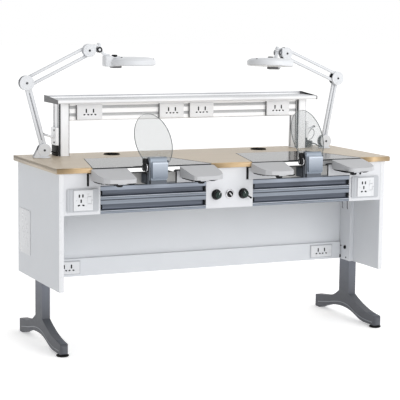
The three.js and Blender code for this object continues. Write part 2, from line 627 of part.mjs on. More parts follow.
function makeLamp(name, side, place) {
  const lower = THREE.MathUtils.degToRad(place.lower);
  const upper = THREE.MathUtils.degToRad(place.upper);
  const group = new THREE.Group();
  group.position.set(side * place.x, lamp.y, 0);
  const azimuth = THREE.MathUtils.degToRad(lamp.azimuth);
  group.rotation.z = side < 0 ? -azimuth : Math.PI + azimuth;
  bench.add(group);
  const elbow = [lamp.lower * Math.cos(lower), lamp.jointZ + lamp.lower * Math.sin(lower)];
  const head = [elbow[0] + lamp.upper * Math.cos(upper), elbow[1] + lamp.upper * Math.sin(upper)];

  const rim = top.height + GAP;
  const flange = rod('z', lamp.baseDisc, [0, 0], rim, rim + 4, sidesOf.disc);
  const toe = block([place.toe, 0], [-lamp.cheek[1], lamp.cheek[1]], [rim, rim + 5]);
  const spigot = rod('z', lamp.hub, [0, 0], underside - 8, rim + 1, sidesOf.pin);
  const nut = rod('z', 15, [0, 0], underside - 8, underside - GAP, 6);
  const rib = outline([[place.toe, rim + 4], [14, rim + 3], [14, lamp.jointZ - 10], [0, lamp.jointZ + 16],
    [Math.max(place.toe, -25), lamp.jointZ + 16], [place.toe, rim + 8]]);
  const ribs = [-1, 1].map((k) => alongY(rib, ...span(k, lamp.cheek[0], lamp.cheek[1] - 1.5)));
  part(`lamp_base_${name}`, join(flange, toe, spigot, nut, ...ribs, ...cheekPair(lamp.jointZ, lamp.baseDisc)),
    finish.lampWhite, group);

  const lowerPlate = plateBetweenJoints(lamp.lower, lamp.lowerWidth, 0);
  const lowerArm = armGeometry(lowerPlate, lower, -11).translate(0, 0, lamp.jointZ);
  part(`lamp_lower_arm_${name}`, lowerArm, finish.lampWhite, group);

  const elbowBlock = join(...cheekPair(0, lamp.elbowDisc)).translate(elbow[0], 0, elbow[1]);
  part(`lamp_elbow_${name}`, elbowBlock, finish.lampWhite, group);

  const upperPlate = plateBetweenJoints(lamp.upper, lamp.upperWidth, lamp.upperSlot);
  const upperArm = armGeometry(upperPlate, upper, 1).translate(elbow[0], 0, elbow[1]);
  part(`lamp_upper_arm_${name}`, upperArm, finish.lampWhite, group);

  const reach = lamp.yokeReach;
  const tongue = block([22, reach], [-8, 8], [20, 26]);
  const bridge = block([17, 30], [-14, 14], [20, 26]);
  const boss = rod('z', 9, [reach, 0], 20, 26, 20);
  const bore = rod('z', 4.6, [reach, 0], 15, 30, 16);
  const headBlock = cut(join(...cheekPair(0, lamp.wristDisc), tongue, bridge, boss), bore)
    .translate(head[0], 0, head[1]);
  part(`lamp_head_joint_${name}`, headBlock, finish.lampWhite, group);

  const swivel = new THREE.Group();
  swivel.position.set(head[0] + reach, 0, head[1] + lamp.yokeRise);
  swivel.rotation.z = side * THREE.MathUtils.degToRad(place.heading);
  group.add(swivel);
  const pin = rod('z', 4, [0, 0], 12, 27, 16);
  const cap = rod('z', 8, [0, 0], 23.2, 29, 18);
  const yoke = block([-9, 9], [-12, 12], [10, 15]);
  const forks = [-1, 1].map((k) => block([-9, 9], span(k, 7, 12), [-10, 11]));
  const washers = [-1, 1].map((k) => rod('y', 13, [0, 0], ...span(k, 11.5, 15), sidesOf.knob));
  const cross = rod('y', 4, [0, 0], -14, 14, sidesOf.pin);
  part(`lamp_yoke_${name}`, join(pin, cap, yoke, ...forks, ...washers, cross), finish.lampWhite, swivel);
  const shade = lampHead().rotateY(-THREE.MathUtils.degToRad(place.lift));
  part(`lamp_head_${name}`, shade, finish.lampWhite, swivel);
}

// A shallow round housing with the ballast box and its neck.
function lampHead() {
  const r = lamp.headRadius;
  const dish = turned([[0, 18], [62, 18], [88, 15], [r - 4, 9], [r, 3], [r, -14], [r - 3, -19], [0, -19]],
    sidesOf.dish);
  const box = roundedBlockAlongX(-125, -58, 56, -23, 25);
  const placed = join(dish, box).translate(lamp.headReach, 0, -lamp.headDrop);
  const neckStart = lamp.headReach - 120;
  const neck = alongY(outline([[-6, -7], [6, -7], [neckStart + 14, -lamp.headDrop + 20],
    [neckStart + 14, -lamp.headDrop + 30], [neckStart - 6, -lamp.headDrop + 34], [2, 7], [-5, 6]]), -6, 6);
  const eye = rod('y', 9, [0, 0], -6, 6, 24);
  const bore = rod('y', 4.6, [0, 0], -20, 20, 16);
  return cut(join(placed, neck, eye), bore);
}

function roundedBlockAlongX(x0, x1, width, z0, z1) {
  return alongX(roundedOutline(-width / 2, width / 2, z0, z1, 8), x0, x1, 3);
}

// ---------------------------------------------------------------- assembly
makeWorktop();
makeBackPanel();
makeControlBox();
makeControls();
makeShelf();
makePowerRail();
for (const [name, side] of sides) {
  makeSteelInlay(name, side);
  makeSidePanel(name, side);
  makeLeg(name, side);
  makeLevellingFoot(name, side);
  makeSocketBox(name, side);
  makeRocker(name, side);
  makeFrontRail(name, side);
  makeRestCarrier(name, side);
  makeDrawer(name, side);
  makeHood(name, side);
  makeFlap(name, side);
  makeShield(name, side);
  makePost(name, side);
  makePostClamp(name, side);
  for (const [hand, k] of sides) {
    makeHandRest(`${name}_${hand}_hand`, side, k, restSetting[name]);
    makeRestKnob(`${name}_${hand}_hand`, side, k, restSetting[name]);
  }
}
makeLamp('left', -1, lampPlace.left);
makeLamp('right', 1, lampPlace.right);

// The origin is the middle of the footprint of the whole bench, on the floor.
const extent = new THREE.Box3().setFromObject(bench, true);
bench.position.set(-(extent.min.x + extent.max.x) / 2, -(extent.min.y + extent.max.y) / 2, -extent.min.z);

export default bench;
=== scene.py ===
"""A two-seat dental laboratory workbench: materials, fittings and fine shapes around the CAD frame."""

import json
import math

import bmesh
import bpy
from mathutils import Matrix, Vector


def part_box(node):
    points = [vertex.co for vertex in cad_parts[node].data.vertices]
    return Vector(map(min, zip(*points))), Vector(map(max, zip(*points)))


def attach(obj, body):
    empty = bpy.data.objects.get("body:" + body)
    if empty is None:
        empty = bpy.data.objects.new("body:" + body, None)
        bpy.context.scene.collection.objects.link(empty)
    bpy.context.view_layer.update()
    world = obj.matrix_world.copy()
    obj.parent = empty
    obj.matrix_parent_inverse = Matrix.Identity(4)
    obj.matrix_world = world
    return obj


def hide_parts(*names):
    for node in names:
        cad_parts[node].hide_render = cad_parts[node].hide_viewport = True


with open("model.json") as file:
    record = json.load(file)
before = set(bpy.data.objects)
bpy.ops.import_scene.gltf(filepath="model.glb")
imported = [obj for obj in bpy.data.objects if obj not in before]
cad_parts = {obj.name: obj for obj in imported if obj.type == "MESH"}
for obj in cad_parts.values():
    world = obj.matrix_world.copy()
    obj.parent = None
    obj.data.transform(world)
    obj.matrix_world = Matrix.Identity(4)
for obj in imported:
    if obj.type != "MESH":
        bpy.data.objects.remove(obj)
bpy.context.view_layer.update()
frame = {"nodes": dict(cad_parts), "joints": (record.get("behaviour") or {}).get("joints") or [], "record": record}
record = frame["record"]
joints = {joint["name"]: joint for joint in frame["joints"]}
body_of = {node: body for body, members in record["behaviour"]["bodies"].items() for node in members}
MM = 0.001
SIDES = (("left", -1), ("right", 1))
# A work station's middle stands this far from the bench's middle, in millimetres.
STATION = 371.5
# The lamp heads stand this many degrees off the level of their yokes.
HEAD_LIFT = {"left": 0.0, "right": 4.5}


# ---------------------------------------------------------------- places, from the frame
def low(node):
    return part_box(node)[0]


def centre(node):
    a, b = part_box(node)
    return (a + b) / 2


def pivot(name):
    return Vector(joints[name]["pos_m"])


def axis_of(name):
    return Vector(joints[name]["axis"])


def axes(x, y, z, origin):
    """A frame with the given axes and origin."""
    matrix = Matrix((x, y, z)).transposed().to_4x4()
    matrix.translation = origin
    return matrix


def facing(origin, out):
    """A frame whose Z points out and whose Y leans upwards."""
    z = Vector(out).normalized()
    x = UP.cross(z).normalized()
    return axes(x, z.cross(x), z, origin)


def linked(name, data):
    """A new object in the scene."""
    made = bpy.data.objects.new(name, data)
    bpy.context.scene.collection.objects.link(made)
    return made


TO_USER = Vector((0, -1, 0))
UP = Vector((0, 0, 1))


# ---------------------------------------------------------------- materials
class Paint:
    """A Principled material and short ways to feed it from procedural nodes."""

    def __init__(self, name, roughness, metallic=0.0, **sockets):
        self.material = bpy.data.materials.new(name)
        self.material.use_nodes = True
        self.tree = self.material.node_tree
        self.shader = self.tree.nodes["Principled BSDF"]
        self.shader.inputs["Roughness"].default_value = roughness
        self.shader.inputs["Metallic"].default_value = metallic
        for socket, value in sockets.items():
            self.shader.inputs[socket.replace("_", " ")].default_value = value
        self.place = self.node("ShaderNodeTexCoord").outputs["Object"]

    def node(self, kind, settings=None, **inputs):
        made = self.tree.nodes.new(kind)
        for key, value in (settings or {}).items():
            setattr(made, key, value)
        for key, value in inputs.items():
            self.feed(made.inputs[key.replace("_", " ")], value)
        return made

    def feed(self, socket, value):
        if isinstance(value, bpy.types.NodeSocket):
            self.tree.links.new(value, socket)
        else:
            socket.default_value = value

    def stretched(self, scale):
        return self.node("ShaderNodeMapping", Vector=self.place, Scale=scale).outputs["Vector"]

    def noise(self, scale, size, detail=4.0, rough=0.55):
        made = self.node("ShaderNodeTexNoise", Vector=self.stretched(scale), Scale=size, Detail=detail,
                         Roughness=rough)
        return made.outputs["Fac"]

    def ramp(self, factor, *stops):
        made = self.node("ShaderNodeValToRGB", Fac=factor)
        elements = made.color_ramp.elements
        while len(elements) < len(stops):
            elements.new(0.5)
        for element, (position, colour) in zip(elements, stops):
            element.position = position
            element.color = (*colour, 1)
        return made.outputs["Color"]

    def mix(self, mode, factor, first, second):
        made = self.tree.nodes.new("ShaderNodeMix")
        made.data_type = "RGBA"
        made.blend_type = mode
        self.feed(made.inputs[0], factor)
        self.feed(made.inputs[6], first)
        self.feed(made.inputs[7], second)
        return made.outputs[2]

    def spread(self, factor, lowest, highest):
        made = self.node("ShaderNodeMapRange", Value=factor)
        made.inputs["To Min"].default_value = lowest
        made.inputs["To Max"].default_value = highest
        return made.outputs["Result"]

    def colour(self, value):
        self.feed(self.shader.inputs["Base Color"], value)

    def rough(self, value):
        self.feed(self.shader.inputs["Roughness"], value)

    def bump(self, height, strength, distance):
        made = self.node("ShaderNodeBump", Strength=strength, Distance=distance, Height=height)
        self.tree.links.new(made.outputs["Normal"], self.shader.inputs["Normal"])


def shade(colour, factor):
    return tuple(min(1.0, channel * factor) for channel in colour)


def coated(name, colour, roughness, variation=0.04, grain=900.0, relief=0.05, stretch=(1, 1, 1), metallic=0.0,
           painted_top_shade=1.0, **sockets):
    """Paint, laminate or moulded plastic: soft tone drift, fine surface grain and uneven gloss.

    Faces that look up take the tone times the given factor, a painted shade that darkens the tops.
    """
    paint = Paint(name, roughness, metallic, **sockets)
    drift = paint.noise(stretch, 7.0, 3.0)
    tone = paint.ramp(drift, (0.3, shade(colour, 1 - variation)), (0.7, shade(colour, 1 + variation)))
    # painted shade: faces that look up are darkened by a fixed factor
    if painted_top_shade < 1.0:
        normal = paint.node("ShaderNodeNewGeometry").outputs["Normal"]
        rise = paint.node("ShaderNodeSeparateXYZ", Vector=normal)
        level = paint.ramp(rise.outputs["Z"], (0.35, (1, 1, 1)), (0.85, (painted_top_shade, painted_top_shade, painted_top_shade)))
        tone = paint.mix("MULTIPLY", 1.0, tone, level)
    paint.colour(tone)
    fine = paint.noise(stretch, grain, 2.0)
    paint.rough(paint.spread(paint.noise(stretch, 30.0, 5.0), roughness * 0.85, roughness * 1.15))
    paint.bump(fine, relief, 0.0004)
    return paint.material


def brushed(name, colour, roughness, stretch, metallic=0.9, relief=0.12, variation=0.07, **sockets):
    """Metal with fine parallel scratches along the direction that stretch leaves low."""
    paint = Paint(name, roughness, metallic, **sockets)
    lines = paint.noise(stretch, 1.0, 6.0, 0.7)
    paint.colour(paint.ramp(lines, (0.3, shade(colour, 1 - variation)), (0.7, shade(colour, 1 + variation))))
    paint.rough(paint.spread(lines, roughness * 0.8, roughness * 1.25))
    paint.bump(lines, relief, 0.0003)
    return paint.material


def beech(name, light, dark, roughness, stave=(0.43, 0.045)):
    """Edge-glued beech: staves of differing tone along X, fine grain and short dark ray flecks."""
    paint = Paint(name, roughness, Coat_Weight=0.15, Coat_Roughness=0.25)
    staves = paint.node("ShaderNodeTexBrick", {"offset": 0.37, "offset_frequency": 2}, Vector=paint.place,
                        Color1=(*light, 1), Color2=(*shade(light, 0.94), 1), Mortar=(*shade(dark, 0.9), 1),
                        Scale=1.0, Mortar_Size=0.0003, Mortar_Smooth=0.6, Bias=0.0, Brick_Width=stave[0],
                        Row_Height=stave[1]).outputs["Color"]
    grain = paint.noise((3, 70, 70), 1.0, 7.0, 0.65)
    streaks = paint.ramp(grain, (0.35, dark), (0.62, light))
    body = paint.mix("MIX", 0.45, staves, streaks)
    fleck = paint.noise((45, 420, 420), 1.0, 2.0)
    marks = paint.ramp(fleck, (0.62, (1, 1, 1)), (0.7, (0.86, 0.83, 0.8)))
    paint.colour(paint.mix("MULTIPLY", 1.0, body, marks))
    paint.rough(paint.spread(grain, roughness * 0.9, roughness * 1.2))
    paint.bump(grain, 0.08, 0.0004)
    return paint.material


def height_shaded(name, lower, upper, roughness, start=0.752, end=0.812):
    """A satin coat with painted light: it lightens with height between two heights in metres, painted shade low
    down and a painted highlight high up.
    """
    paint = Paint(name, roughness, 0.2)
    height = paint.node("ShaderNodeSeparateXYZ", Vector=paint.place).outputs["Z"]
    drift = paint.noise((1, 1, 1), 9.0, 3.0)
    share = paint.node("ShaderNodeMapRange", Value=height, From_Min=start, From_Max=end).outputs["Result"]
    # painted light: the tone runs from the lower colour to the upper one with height
    tone = paint.mix("MIX", share, (*lower, 1), (*upper, 1))
    soft = paint.ramp(drift, (0.3, (0.94, 0.94, 0.94)), (0.7, (1, 1, 1)))
    paint.colour(paint.mix("MULTIPLY", 0.5, tone, soft))
    paint.rough(paint.spread(paint.noise((1, 1, 1), 40.0, 5.0), roughness * 0.85, roughness * 1.2))
    paint.bump(paint.noise((1, 1, 1), 900.0, 2.0), 0.04, 0.0004)
    return paint.material


def clear(name, colour, alpha, roughness):
    """Thin clear sheet, seen by its tint, with faint wipe marks in the gloss."""
    paint = Paint(name, roughness, Alpha=alpha, IOR=1.3, Specular_IOR_Level=0.25)
    smear = paint.noise((1, 1, 1), 22.0, 5.0)
    paint.colour(paint.ramp(smear, (0.3, shade(colour, 0.97)), (0.7, colour)))
    paint.rough(paint.spread(smear, roughness * 0.6, roughness * 1.6))
    return paint.material


def glow(strength):
    """A faint even glow by emission, painted light that lifts pale pieces that hang in the shade of the shelf."""
    return {"Emission_Color": (1, 1, 1, 1), "Emission_Strength": strength}


look = {
    "top": beech("beech_top", (0.55, 0.465, 0.355), (0.49, 0.40, 0.295), 0.45),
    "nosing": beech("lacquered_nosing", (0.66, 0.475, 0.27), (0.58, 0.40, 0.21), 0.3, (0.9, 0.03)),
    "steel": brushed("satin_steel", (0.36, 0.363, 0.366), 0.14, (6, 700, 700), 0.95,
                     Specular_Tint=(0.68, 0.68, 0.68, 1)),
    "laminate": coated("white_laminate", (0.62, 0.64, 0.67), 0.45, 0.012, 500.0, 0.05),
    "shell": coated("white_powder_coat", (0.62, 0.63, 0.655), 0.4, 0.015, 1100.0, 0.09),
    "socket": coated("white_socket_plastic", (0.66, 0.67, 0.69), 0.28, 0.01, 1600.0, 0.03),
    "surround": coated("grey_surround_plastic", (0.44, 0.455, 0.48), 0.42, 0.02, 1400.0, 0.05),
    "drawer": coated("drawer_grey", (0.30, 0.30, 0.295), 0.42, 0.05, 800.0, 0.06),
    # the legs' feet are painted darker than the columns, the tone rising with height: painted shade
    "slate": height_shaded("slate_powder_coat_painted_shade", (0.085, 0.09, 0.104), (0.155, 0.168, 0.2), 0.52, 0.105, 0.3),
    "stripe": coated("pale_slate_moulding", (0.27, 0.285, 0.31), 0.42, 0.03, 1100.0, 0.08),
    # rail and rail_low are a lit and a shaded copy of one anodised slate: painted light
    "rail": brushed("slate_anodised", (0.27, 0.30, 0.355), 0.36, (1.6, 260, 260), 0.5, 0.1, 0.22),
    "rail_low": brushed("slate_anodised_painted_shade", (0.205, 0.23, 0.27), 0.38, (1.6, 260, 260), 0.5, 0.1, 0.25),
    "groove": brushed("groove_slate_painted_shade", (0.088, 0.102, 0.132), 0.34, (1.3, 110, 110), 0.35, 0.1, 0.55),
    "glint": coated("painted_rail_glint", (0.52, 0.56, 0.62), 0.3, 0.03, 900.0, 0.05),
    "seam_and_shadow": coated("dark_seam_and_painted_shadow", (0.016, 0.018, 0.021), 0.7, 0.1, 900.0, 0.05, Specular_IOR_Level=0.03),
    "matt": coated("matt_black", (0.006, 0.006, 0.006), 0.9, 0.2, 900.0, 0.1, Specular_IOR_Level=0.02),
    # the hood's top faces are painted darker by a factor: painted shade
    "hood": coated("blue_grey_satin", (0.25, 0.29, 0.345), 0.36, 0.03, 900.0, 0.05, metallic=0.2, painted_top_shade=0.66),
    # the flap carries a painted highlight on its upper half that fades to a darker lower edge
    "flap": height_shaded("blue_grey_satin_painted_highlight", (0.165, 0.195, 0.24), (0.42, 0.465, 0.53), 0.25),
    "cheek": coated("slate_cheek", (0.085, 0.098, 0.12), 0.34, 0.04, 900.0, 0.06, metallic=0.2),
    "rest": coated("pad_grey", (0.455, 0.46, 0.475), 0.45, 0.02, 700.0, 0.12),
    "black": coated("satin_black", (0.007, 0.007, 0.008), 0.5, 0.2, 900.0, 0.12, Specular_IOR_Level=0.2),
    "rubber": coated("black_rubber", (0.01, 0.01, 0.01), 0.8, 0.2, 500.0, 0.25, Specular_IOR_Level=0.2),
    "green": coated("dark_green_gloss", (0.004, 0.02, 0.015), 0.16, 0.15, 700.0, 0.04,
                    Specular_IOR_Level=0.35),
    "chrome": brushed("polished_chrome", (0.62, 0.62, 0.64), 0.12, (60, 60, 60), 1.0, 0.02, 0.03),
    "screw": brushed("dark_screw_steel", (0.05, 0.05, 0.055), 0.35, (90, 90, 90), 0.6, 0.05, 0.15),
    # the shelf's top faces are painted slightly darker: painted shade
    "shelf": coated("shelf_grey", (0.84, 0.845, 0.86), 0.36, 0.02, 1000.0, 0.07, metallic=0.1, painted_top_shade=0.93),
    # channel, bright, module, post and lamp carry a faint emission glow: painted light
    "channel": coated("shelf_groove_grey_painted_glow", (0.42, 0.425, 0.43), 0.42, 0.03, 900.0, 0.07, **glow(0.1)),
    "bright": coated("white_coat_painted_glow", (0.94, 0.94, 0.945), 0.4, 0.01, 900.0, 0.05, **glow(0.16)),
    "module": coated("white_module_plastic_painted_glow", (0.72, 0.725, 0.74), 0.3, 0.01, 1600.0, 0.03, **glow(0.14)),
    "endcap": coated("endcap_grey", (0.13, 0.13, 0.135), 0.45, 0.05, 900.0, 0.1),
    "post": coated("white_aluminium", (0.90, 0.91, 0.93), 0.34, 0.012, 1000.0, 0.05, metallic=0.05,
                   **glow(0.05)),
    "tee": coated("post_slot_grey", (0.05, 0.053, 0.06), 0.5, 0.05, 900.0, 0.08),
    "lamp": coated("lamp_white", (0.66, 0.675, 0.70), 0.32, 0.015, 1200.0, 0.05, **glow(0.02)),
    "cord": coated("black_cord", (0.014, 0.014, 0.013), 0.5, 0.2, 1500.0, 0.2, Specular_IOR_Level=0.25),
    "olive": coated("olive_cord", (0.12, 0.105, 0.06), 0.55, 0.2, 1500.0, 0.2),
    "glass": clear("clear_glass", (0.26, 0.285, 0.29), 0.21, 0.06),
    "rim": coated("ground_glass_edge", (0.15, 0.165, 0.17), 0.3, 0.05, 600.0, 0.05),
    "diffuser": coated("opal_diffuser", (0.74, 0.74, 0.73), 0.3, 0.02, 300.0, 0.1),
}


# ---------------------------------------------------------------- mesh tools
def metres(*values):
    """Values in millimetres as a tuple in metres."""
    return tuple(value * MM for value in values)


def mm(points):
    """Points in millimetres as a list in metres."""
    return [metres(*point) for point in points]


def arc(cx, cy, radius, start, end, steps):
    """Points on an arc, in degrees."""
    angles = [math.radians(start + (end - start) * i / steps) for i in range(steps + 1)]
    return [(cx + radius * math.cos(a), cy + radius * math.sin(a)) for a in angles]


def circle(cx, cy, radius, steps=40):
    return arc(cx, cy, radius, 0, 360, steps)[:-1]


def rounded_box(width, height, radius, cx=0.0, cy=0.0, steps=6):
    w, h = width / 2 - radius, height / 2 - radius
    corners = ((w, h, 0), (-w, h, 90), (-w, -h, 180), (w, -h, 270))
    return [p for x, y, a in corners for p in arc(cx + x, cy + y, radius, a, a + 90, steps)]


def capsule(length, half, steps=20):
    """Two half rounds, the first about the origin and the second at length along X."""
    return arc(length, 0, half, -90, 90, steps) + arc(0, 0, half, 90, 270, steps)


def plate(loops, thickness, edge, rings=3):
    """A flat plate in millimetres, from z 0 up. The first loop is its outline and the rest are holes."""
    thickness, edge = metres(thickness, edge)
    curve = bpy.data.curves.new("outline", "CURVE")
    curve.dimensions = "2D"
    curve.fill_mode = "BOTH"
    curve.extrude = thickness / 2 - edge
    curve.bevel_depth = edge
    curve.bevel_resolution = rings
    curve.offset = -edge
    for loop in loops:
        spline = curve.splines.new("POLY")
        spline.points.add(len(loop) - 1)
        for point, (x, y) in zip(spline.points, mm(loop)):
            point.co = (x, y, 0, 1)
        spline.use_cyclic_u = True
    holder = linked("outline", curve)
    graph = bpy.context.evaluated_depsgraph_get()
    mesh = bpy.data.meshes.new_from_object(holder.evaluated_get(graph))
    bpy.data.objects.remove(holder)
    mesh.transform(Matrix.Translation((0, 0, thickness / 2)))
    return mesh


def softened(profile, radius, steps=3):
    """The same profile with each inner corner rounded."""
    points = [Vector(p) for p in profile]
    out = [points[0]]
    for before, corner, after in zip(points, points[1:], points[2:]):
        reach = min(radius, (before - corner).length * 0.45, (after - corner).length * 0.45)
        a = corner + (before - corner).normalized() * reach
        b = corner + (after - corner).normalized() * reach
        for i in range(steps + 1):
            t = i / steps
            out.append(a * (1 - t) ** 2 + corner * 2 * t * (1 - t) + b * t * t)
    out.append(points[-1])
    return out


def turned(profile, segments=64, soft=0.0):
    """A body turned about Z from (radius, height) pairs in millimetres. Soft rounds its corners."""
    points = softened(mm(profile), soft) if soft else mm(profile)
    bm = bmesh.new()
    verts = [bm.verts.new((p[0], 0, p[1])) for p in points]
    edges = [bm.edges.new(pair) for pair in zip(verts, verts[1:])]
    bmesh.ops.spin(bm, geom=verts + edges, axis=(0, 0, 1), cent=(0, 0, 0), steps=segments, angle=math.tau)
    return mesh_from(bm)


def lobed(profile, lobes, depth, segments=96, soft=0.0005):
    """A turned grip whose rim swells and shrinks a number of times round."""
    mesh = turned(profile, segments, soft)
    widest = max(point[0] for point in profile) * MM
    for vertex in mesh.vertices:
        radius = math.hypot(vertex.co.x, vertex.co.y)
        share = max(0.0, radius / widest - 0.6) / 0.4
        angle = math.atan2(vertex.co.y, vertex.co.x)
        scale = 1 + share * depth * (math.cos(lobes * angle) - 1) / 2
        vertex.co.x *= scale
        vertex.co.y *= scale
    return mesh


def solid_box(size, edge, origin=(0, 0, 0), segments=3):
    """A box with rounded edges, centred on origin."""
    bm = bmesh.new()
    bmesh.ops.create_cube(bm, size=1.0)
    bmesh.ops.scale(bm, vec=size, verts=bm.verts)
    bmesh.ops.bevel(bm, geom=list(bm.edges), offset=edge, segments=segments, profile=0.5, affect="EDGES")
    bmesh.ops.translate(bm, vec=origin, verts=bm.verts)
    return mesh_from(bm)


def mesh_from(bm):
    bmesh.ops.remove_doubles(bm, verts=bm.verts, dist=1e-6)
    bmesh.ops.recalc_face_normals(bm, faces=bm.faces)
    mesh = bpy.data.meshes.new("shape")
    bm.to_mesh(mesh)
    bm.free()
    return mesh


def smooth_path(points, steps=8):
    """A Catmull-Rom curve through the points."""
    ps = [Vector(p) for p in points]
    ps = [ps[0] * 2 - ps[1], *ps, ps[-1] * 2 - ps[-2]]
    out = []
    for a, b, c, d in zip(ps, ps[1:], ps[2:], ps[3:]):
        for i in range(steps):
            t = i / steps
            out.append(0.5 * (b * 2 + (c - a) * t + (a * 2 - b * 5 + c * 4 - d) * t * t
                              + (b * 3 - a - c * 3 + d) * t ** 3))
    return out + [ps[-2]]


def tube(points, radius, sides=12):
    """A round tube with capped ends along a smooth path."""
    path = smooth_path(points)
    bm = bmesh.new()
    rings = []
    side = None
    for i, point in enumerate(path):
        ahead = (path[min(i + 1, len(path) - 1)] - path[max(i - 1, 0)]).normalized()
        if side is None:
            side = ahead.cross(Vector((0.3, 0.2, 1)) if abs(ahead.z) < 0.9 else Vector((1, 0, 0)))
        side = (side - ahead * side.dot(ahead)).normalized()
        other = ahead.cross(side)
        angles = [math.tau * k / sides for k in range(sides)]
        rings.append([bm.verts.new(point + (side * math.cos(a) + other * math.sin(a)) * radius)
                      for a in angles])
    for first, second in zip(rings, rings[1:]):
        for k in range(sides):
            bm.faces.new((first[k], first[(k + 1) % sides], second[(k + 1) % sides], second[k]))
    bm.faces.new(rings[0][::-1])
    bm.faces.new(rings[-1])
    return mesh_from(bm)


class Piece:
    """One visible object put together from meshes, each with its own finish."""

    def __init__(self, name):
        self.name = name
        self.bm = bmesh.new()
        self.finishes = []

    def add(self, mesh, finish, matrix=None):
        if finish not in self.finishes:
            self.finishes.append(finish)
        index = self.finishes.index(finish)
        if matrix is not None:
            mesh.transform(matrix)
        first = len(self.bm.faces)
        self.bm.from_mesh(mesh)
        self.bm.faces.ensure_lookup_table()
        for face in self.bm.faces[first:]:
            face.material_index = index
        bpy.data.meshes.remove(mesh)

    def box(self, finish, place, size, edge, middle=(0, 0, 0)):
        """Adds a rounded box, given in millimetres in the frame of place."""
        self.add(solid_box(metres(*size), edge * MM, metres(*middle)), finish, place)

    def done(self, body, replaces=(), crease=32):
        bmesh.ops.remove_doubles(self.bm, verts=self.bm.verts, dist=2e-6)
        for face in self.bm.faces:
            face.smooth = True
        for edge in self.bm.edges:
            edge.smooth = len(edge.link_faces) == 2 and edge.calc_face_angle() < math.radians(crease)
        mesh = bpy.data.meshes.new(self.name)
        self.bm.to_mesh(mesh)
        self.bm.free()
        for finish in self.finishes:
            mesh.materials.append(look[finish])
        made = linked(self.name, mesh)
        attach(made, body)
        if replaces:
            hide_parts(*replaces)

    def done_on(self, node):
        """Ends a piece that rides on a CAD node and shares its body."""
        self.done(body_of[node])

    def done_for(self, node):
        """Ends a piece that takes the place of a CAD node."""
        self.done(body_of[node], [node])


def dress(node, finish, edge=0.0, segments=2):
    """Gives a CAD node its finish and, by modifiers, rounded edges."""
    made = frame["nodes"][node]
    made.data.materials.clear()
    made.data.materials.append(look[finish])
    for face in made.data.polygons:
        face.use_smooth = True
        face.material_index = 0
    weld = made.modifiers.new("weld", "WELD")
    weld.merge_threshold = 1e-5
    flats = made.modifiers.new("flats", "DECIMATE")
    flats.decimate_type = "DISSOLVE"
    flats.angle_limit = math.radians(1)
    if edge:
        rounding = made.modifiers.new("rounding", "BEVEL")
        rounding.width = edge
        rounding.segments = segments
        rounding.limit_method = "ANGLE"
        rounding.angle_limit = math.radians(32)
    made.modifiers.new("shading", "WEIGHTED_NORMAL").keep_sharp = True


def paint_faces(node, finish, chosen):
    """Gives the faces of a CAD node that chosen(centre, normal) picks another finish."""
    mesh = frame["nodes"][node].data
    if look[finish].name not in mesh.materials:
        mesh.materials.append(look[finish])
    index = mesh.materials.find(look[finish].name)
    for face in mesh.polygons:
        if chosen(face.center, face.normal):
            face.material_index = index
    frame["nodes"][node].modifiers["flats"].delimit = {"NORMAL", "MATERIAL"}


# ---------------------------------------------------------------- the bench's own axes
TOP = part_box("worktop")
MID_X = (TOP[0].x + TOP[1].x) / 2
FRONT_Y = TOP[0].y
TOP_Z = TOP[1].z


def at(x, y, z):
    """A place in millimetres: right of the bench's middle, back from its front edge, up from the floor."""
    return Vector((MID_X + x * MM, FRONT_Y + y * MM, z * MM))


def shift(x=0.0, y=0.0, z=0.0):
    return Matrix.Translation((x * MM, y * MM, z * MM))


def spin(degrees, axis="Z"):
    return Matrix.Rotation(math.radians(degrees), 4, axis)


def block(piece, finish, x, y, z, edge):
    """Adds a rounded box that spans the pairs x, y and z, in the bench's millimetres."""
    size = [abs(b - a) * MM for a, b in (x, y, z)]
    middle = at((x[0] + x[1]) / 2, (y[0] + y[1]) / 2, (z[0] + z[1]) / 2)
    piece.add(solid_box(size, edge * MM, middle), finish)


# ---------------------------------------------------------------- sockets
def slit(x, y, width, height, turn=0.0):
    """A narrow rounded opening, turned about its own centre."""
    loop = rounded_box(width, height, min(width, height) * 0.3, steps=2)
    c, s = math.cos(math.radians(turn)), math.sin(math.radians(turn))
    return [(x + a * c - b * s, y + a * s + b * c) for a, b in loop]


def three_pin(x, y):
    """An earth slot over two shorter slots that lean outwards."""
    lower = [slit(x + k * 9.2, y - 10.5, 9.5, 5.6, -15 * k) for k in (-1, 1)]
    return [slit(x, y + 6.5, 6.6, 18), *lower]


def five_hole(x, y):
    """Two upright slots over an earth slot and two leaning ones."""
    upper = [slit(x + k * 7.8, y + 19, 6.6, 13.5) for k in (-1, 1)]
    lower = [slit(x + k * 10, y - 20.5, 10.5, 6.4, -15 * k) for k in (-1, 1)]
    return [*upper, slit(x, y - 2.5, 6.6, 15), *lower]


def socket_plate(piece, place, outline, holes, finish="socket"):
    """A moulded cover with open slots over a black sheet that paints the shade inside them."""
    piece.add(plate([outline, *holes], 1.8, 0.45), finish, place @ shift(z=0.35))
    slot_shade = [(x * 0.97, y * 0.97) for x, y in outline]
    piece.add(plate([slot_shade], 0.25, 0.05, 1), "black", place @ shift(z=0.08))


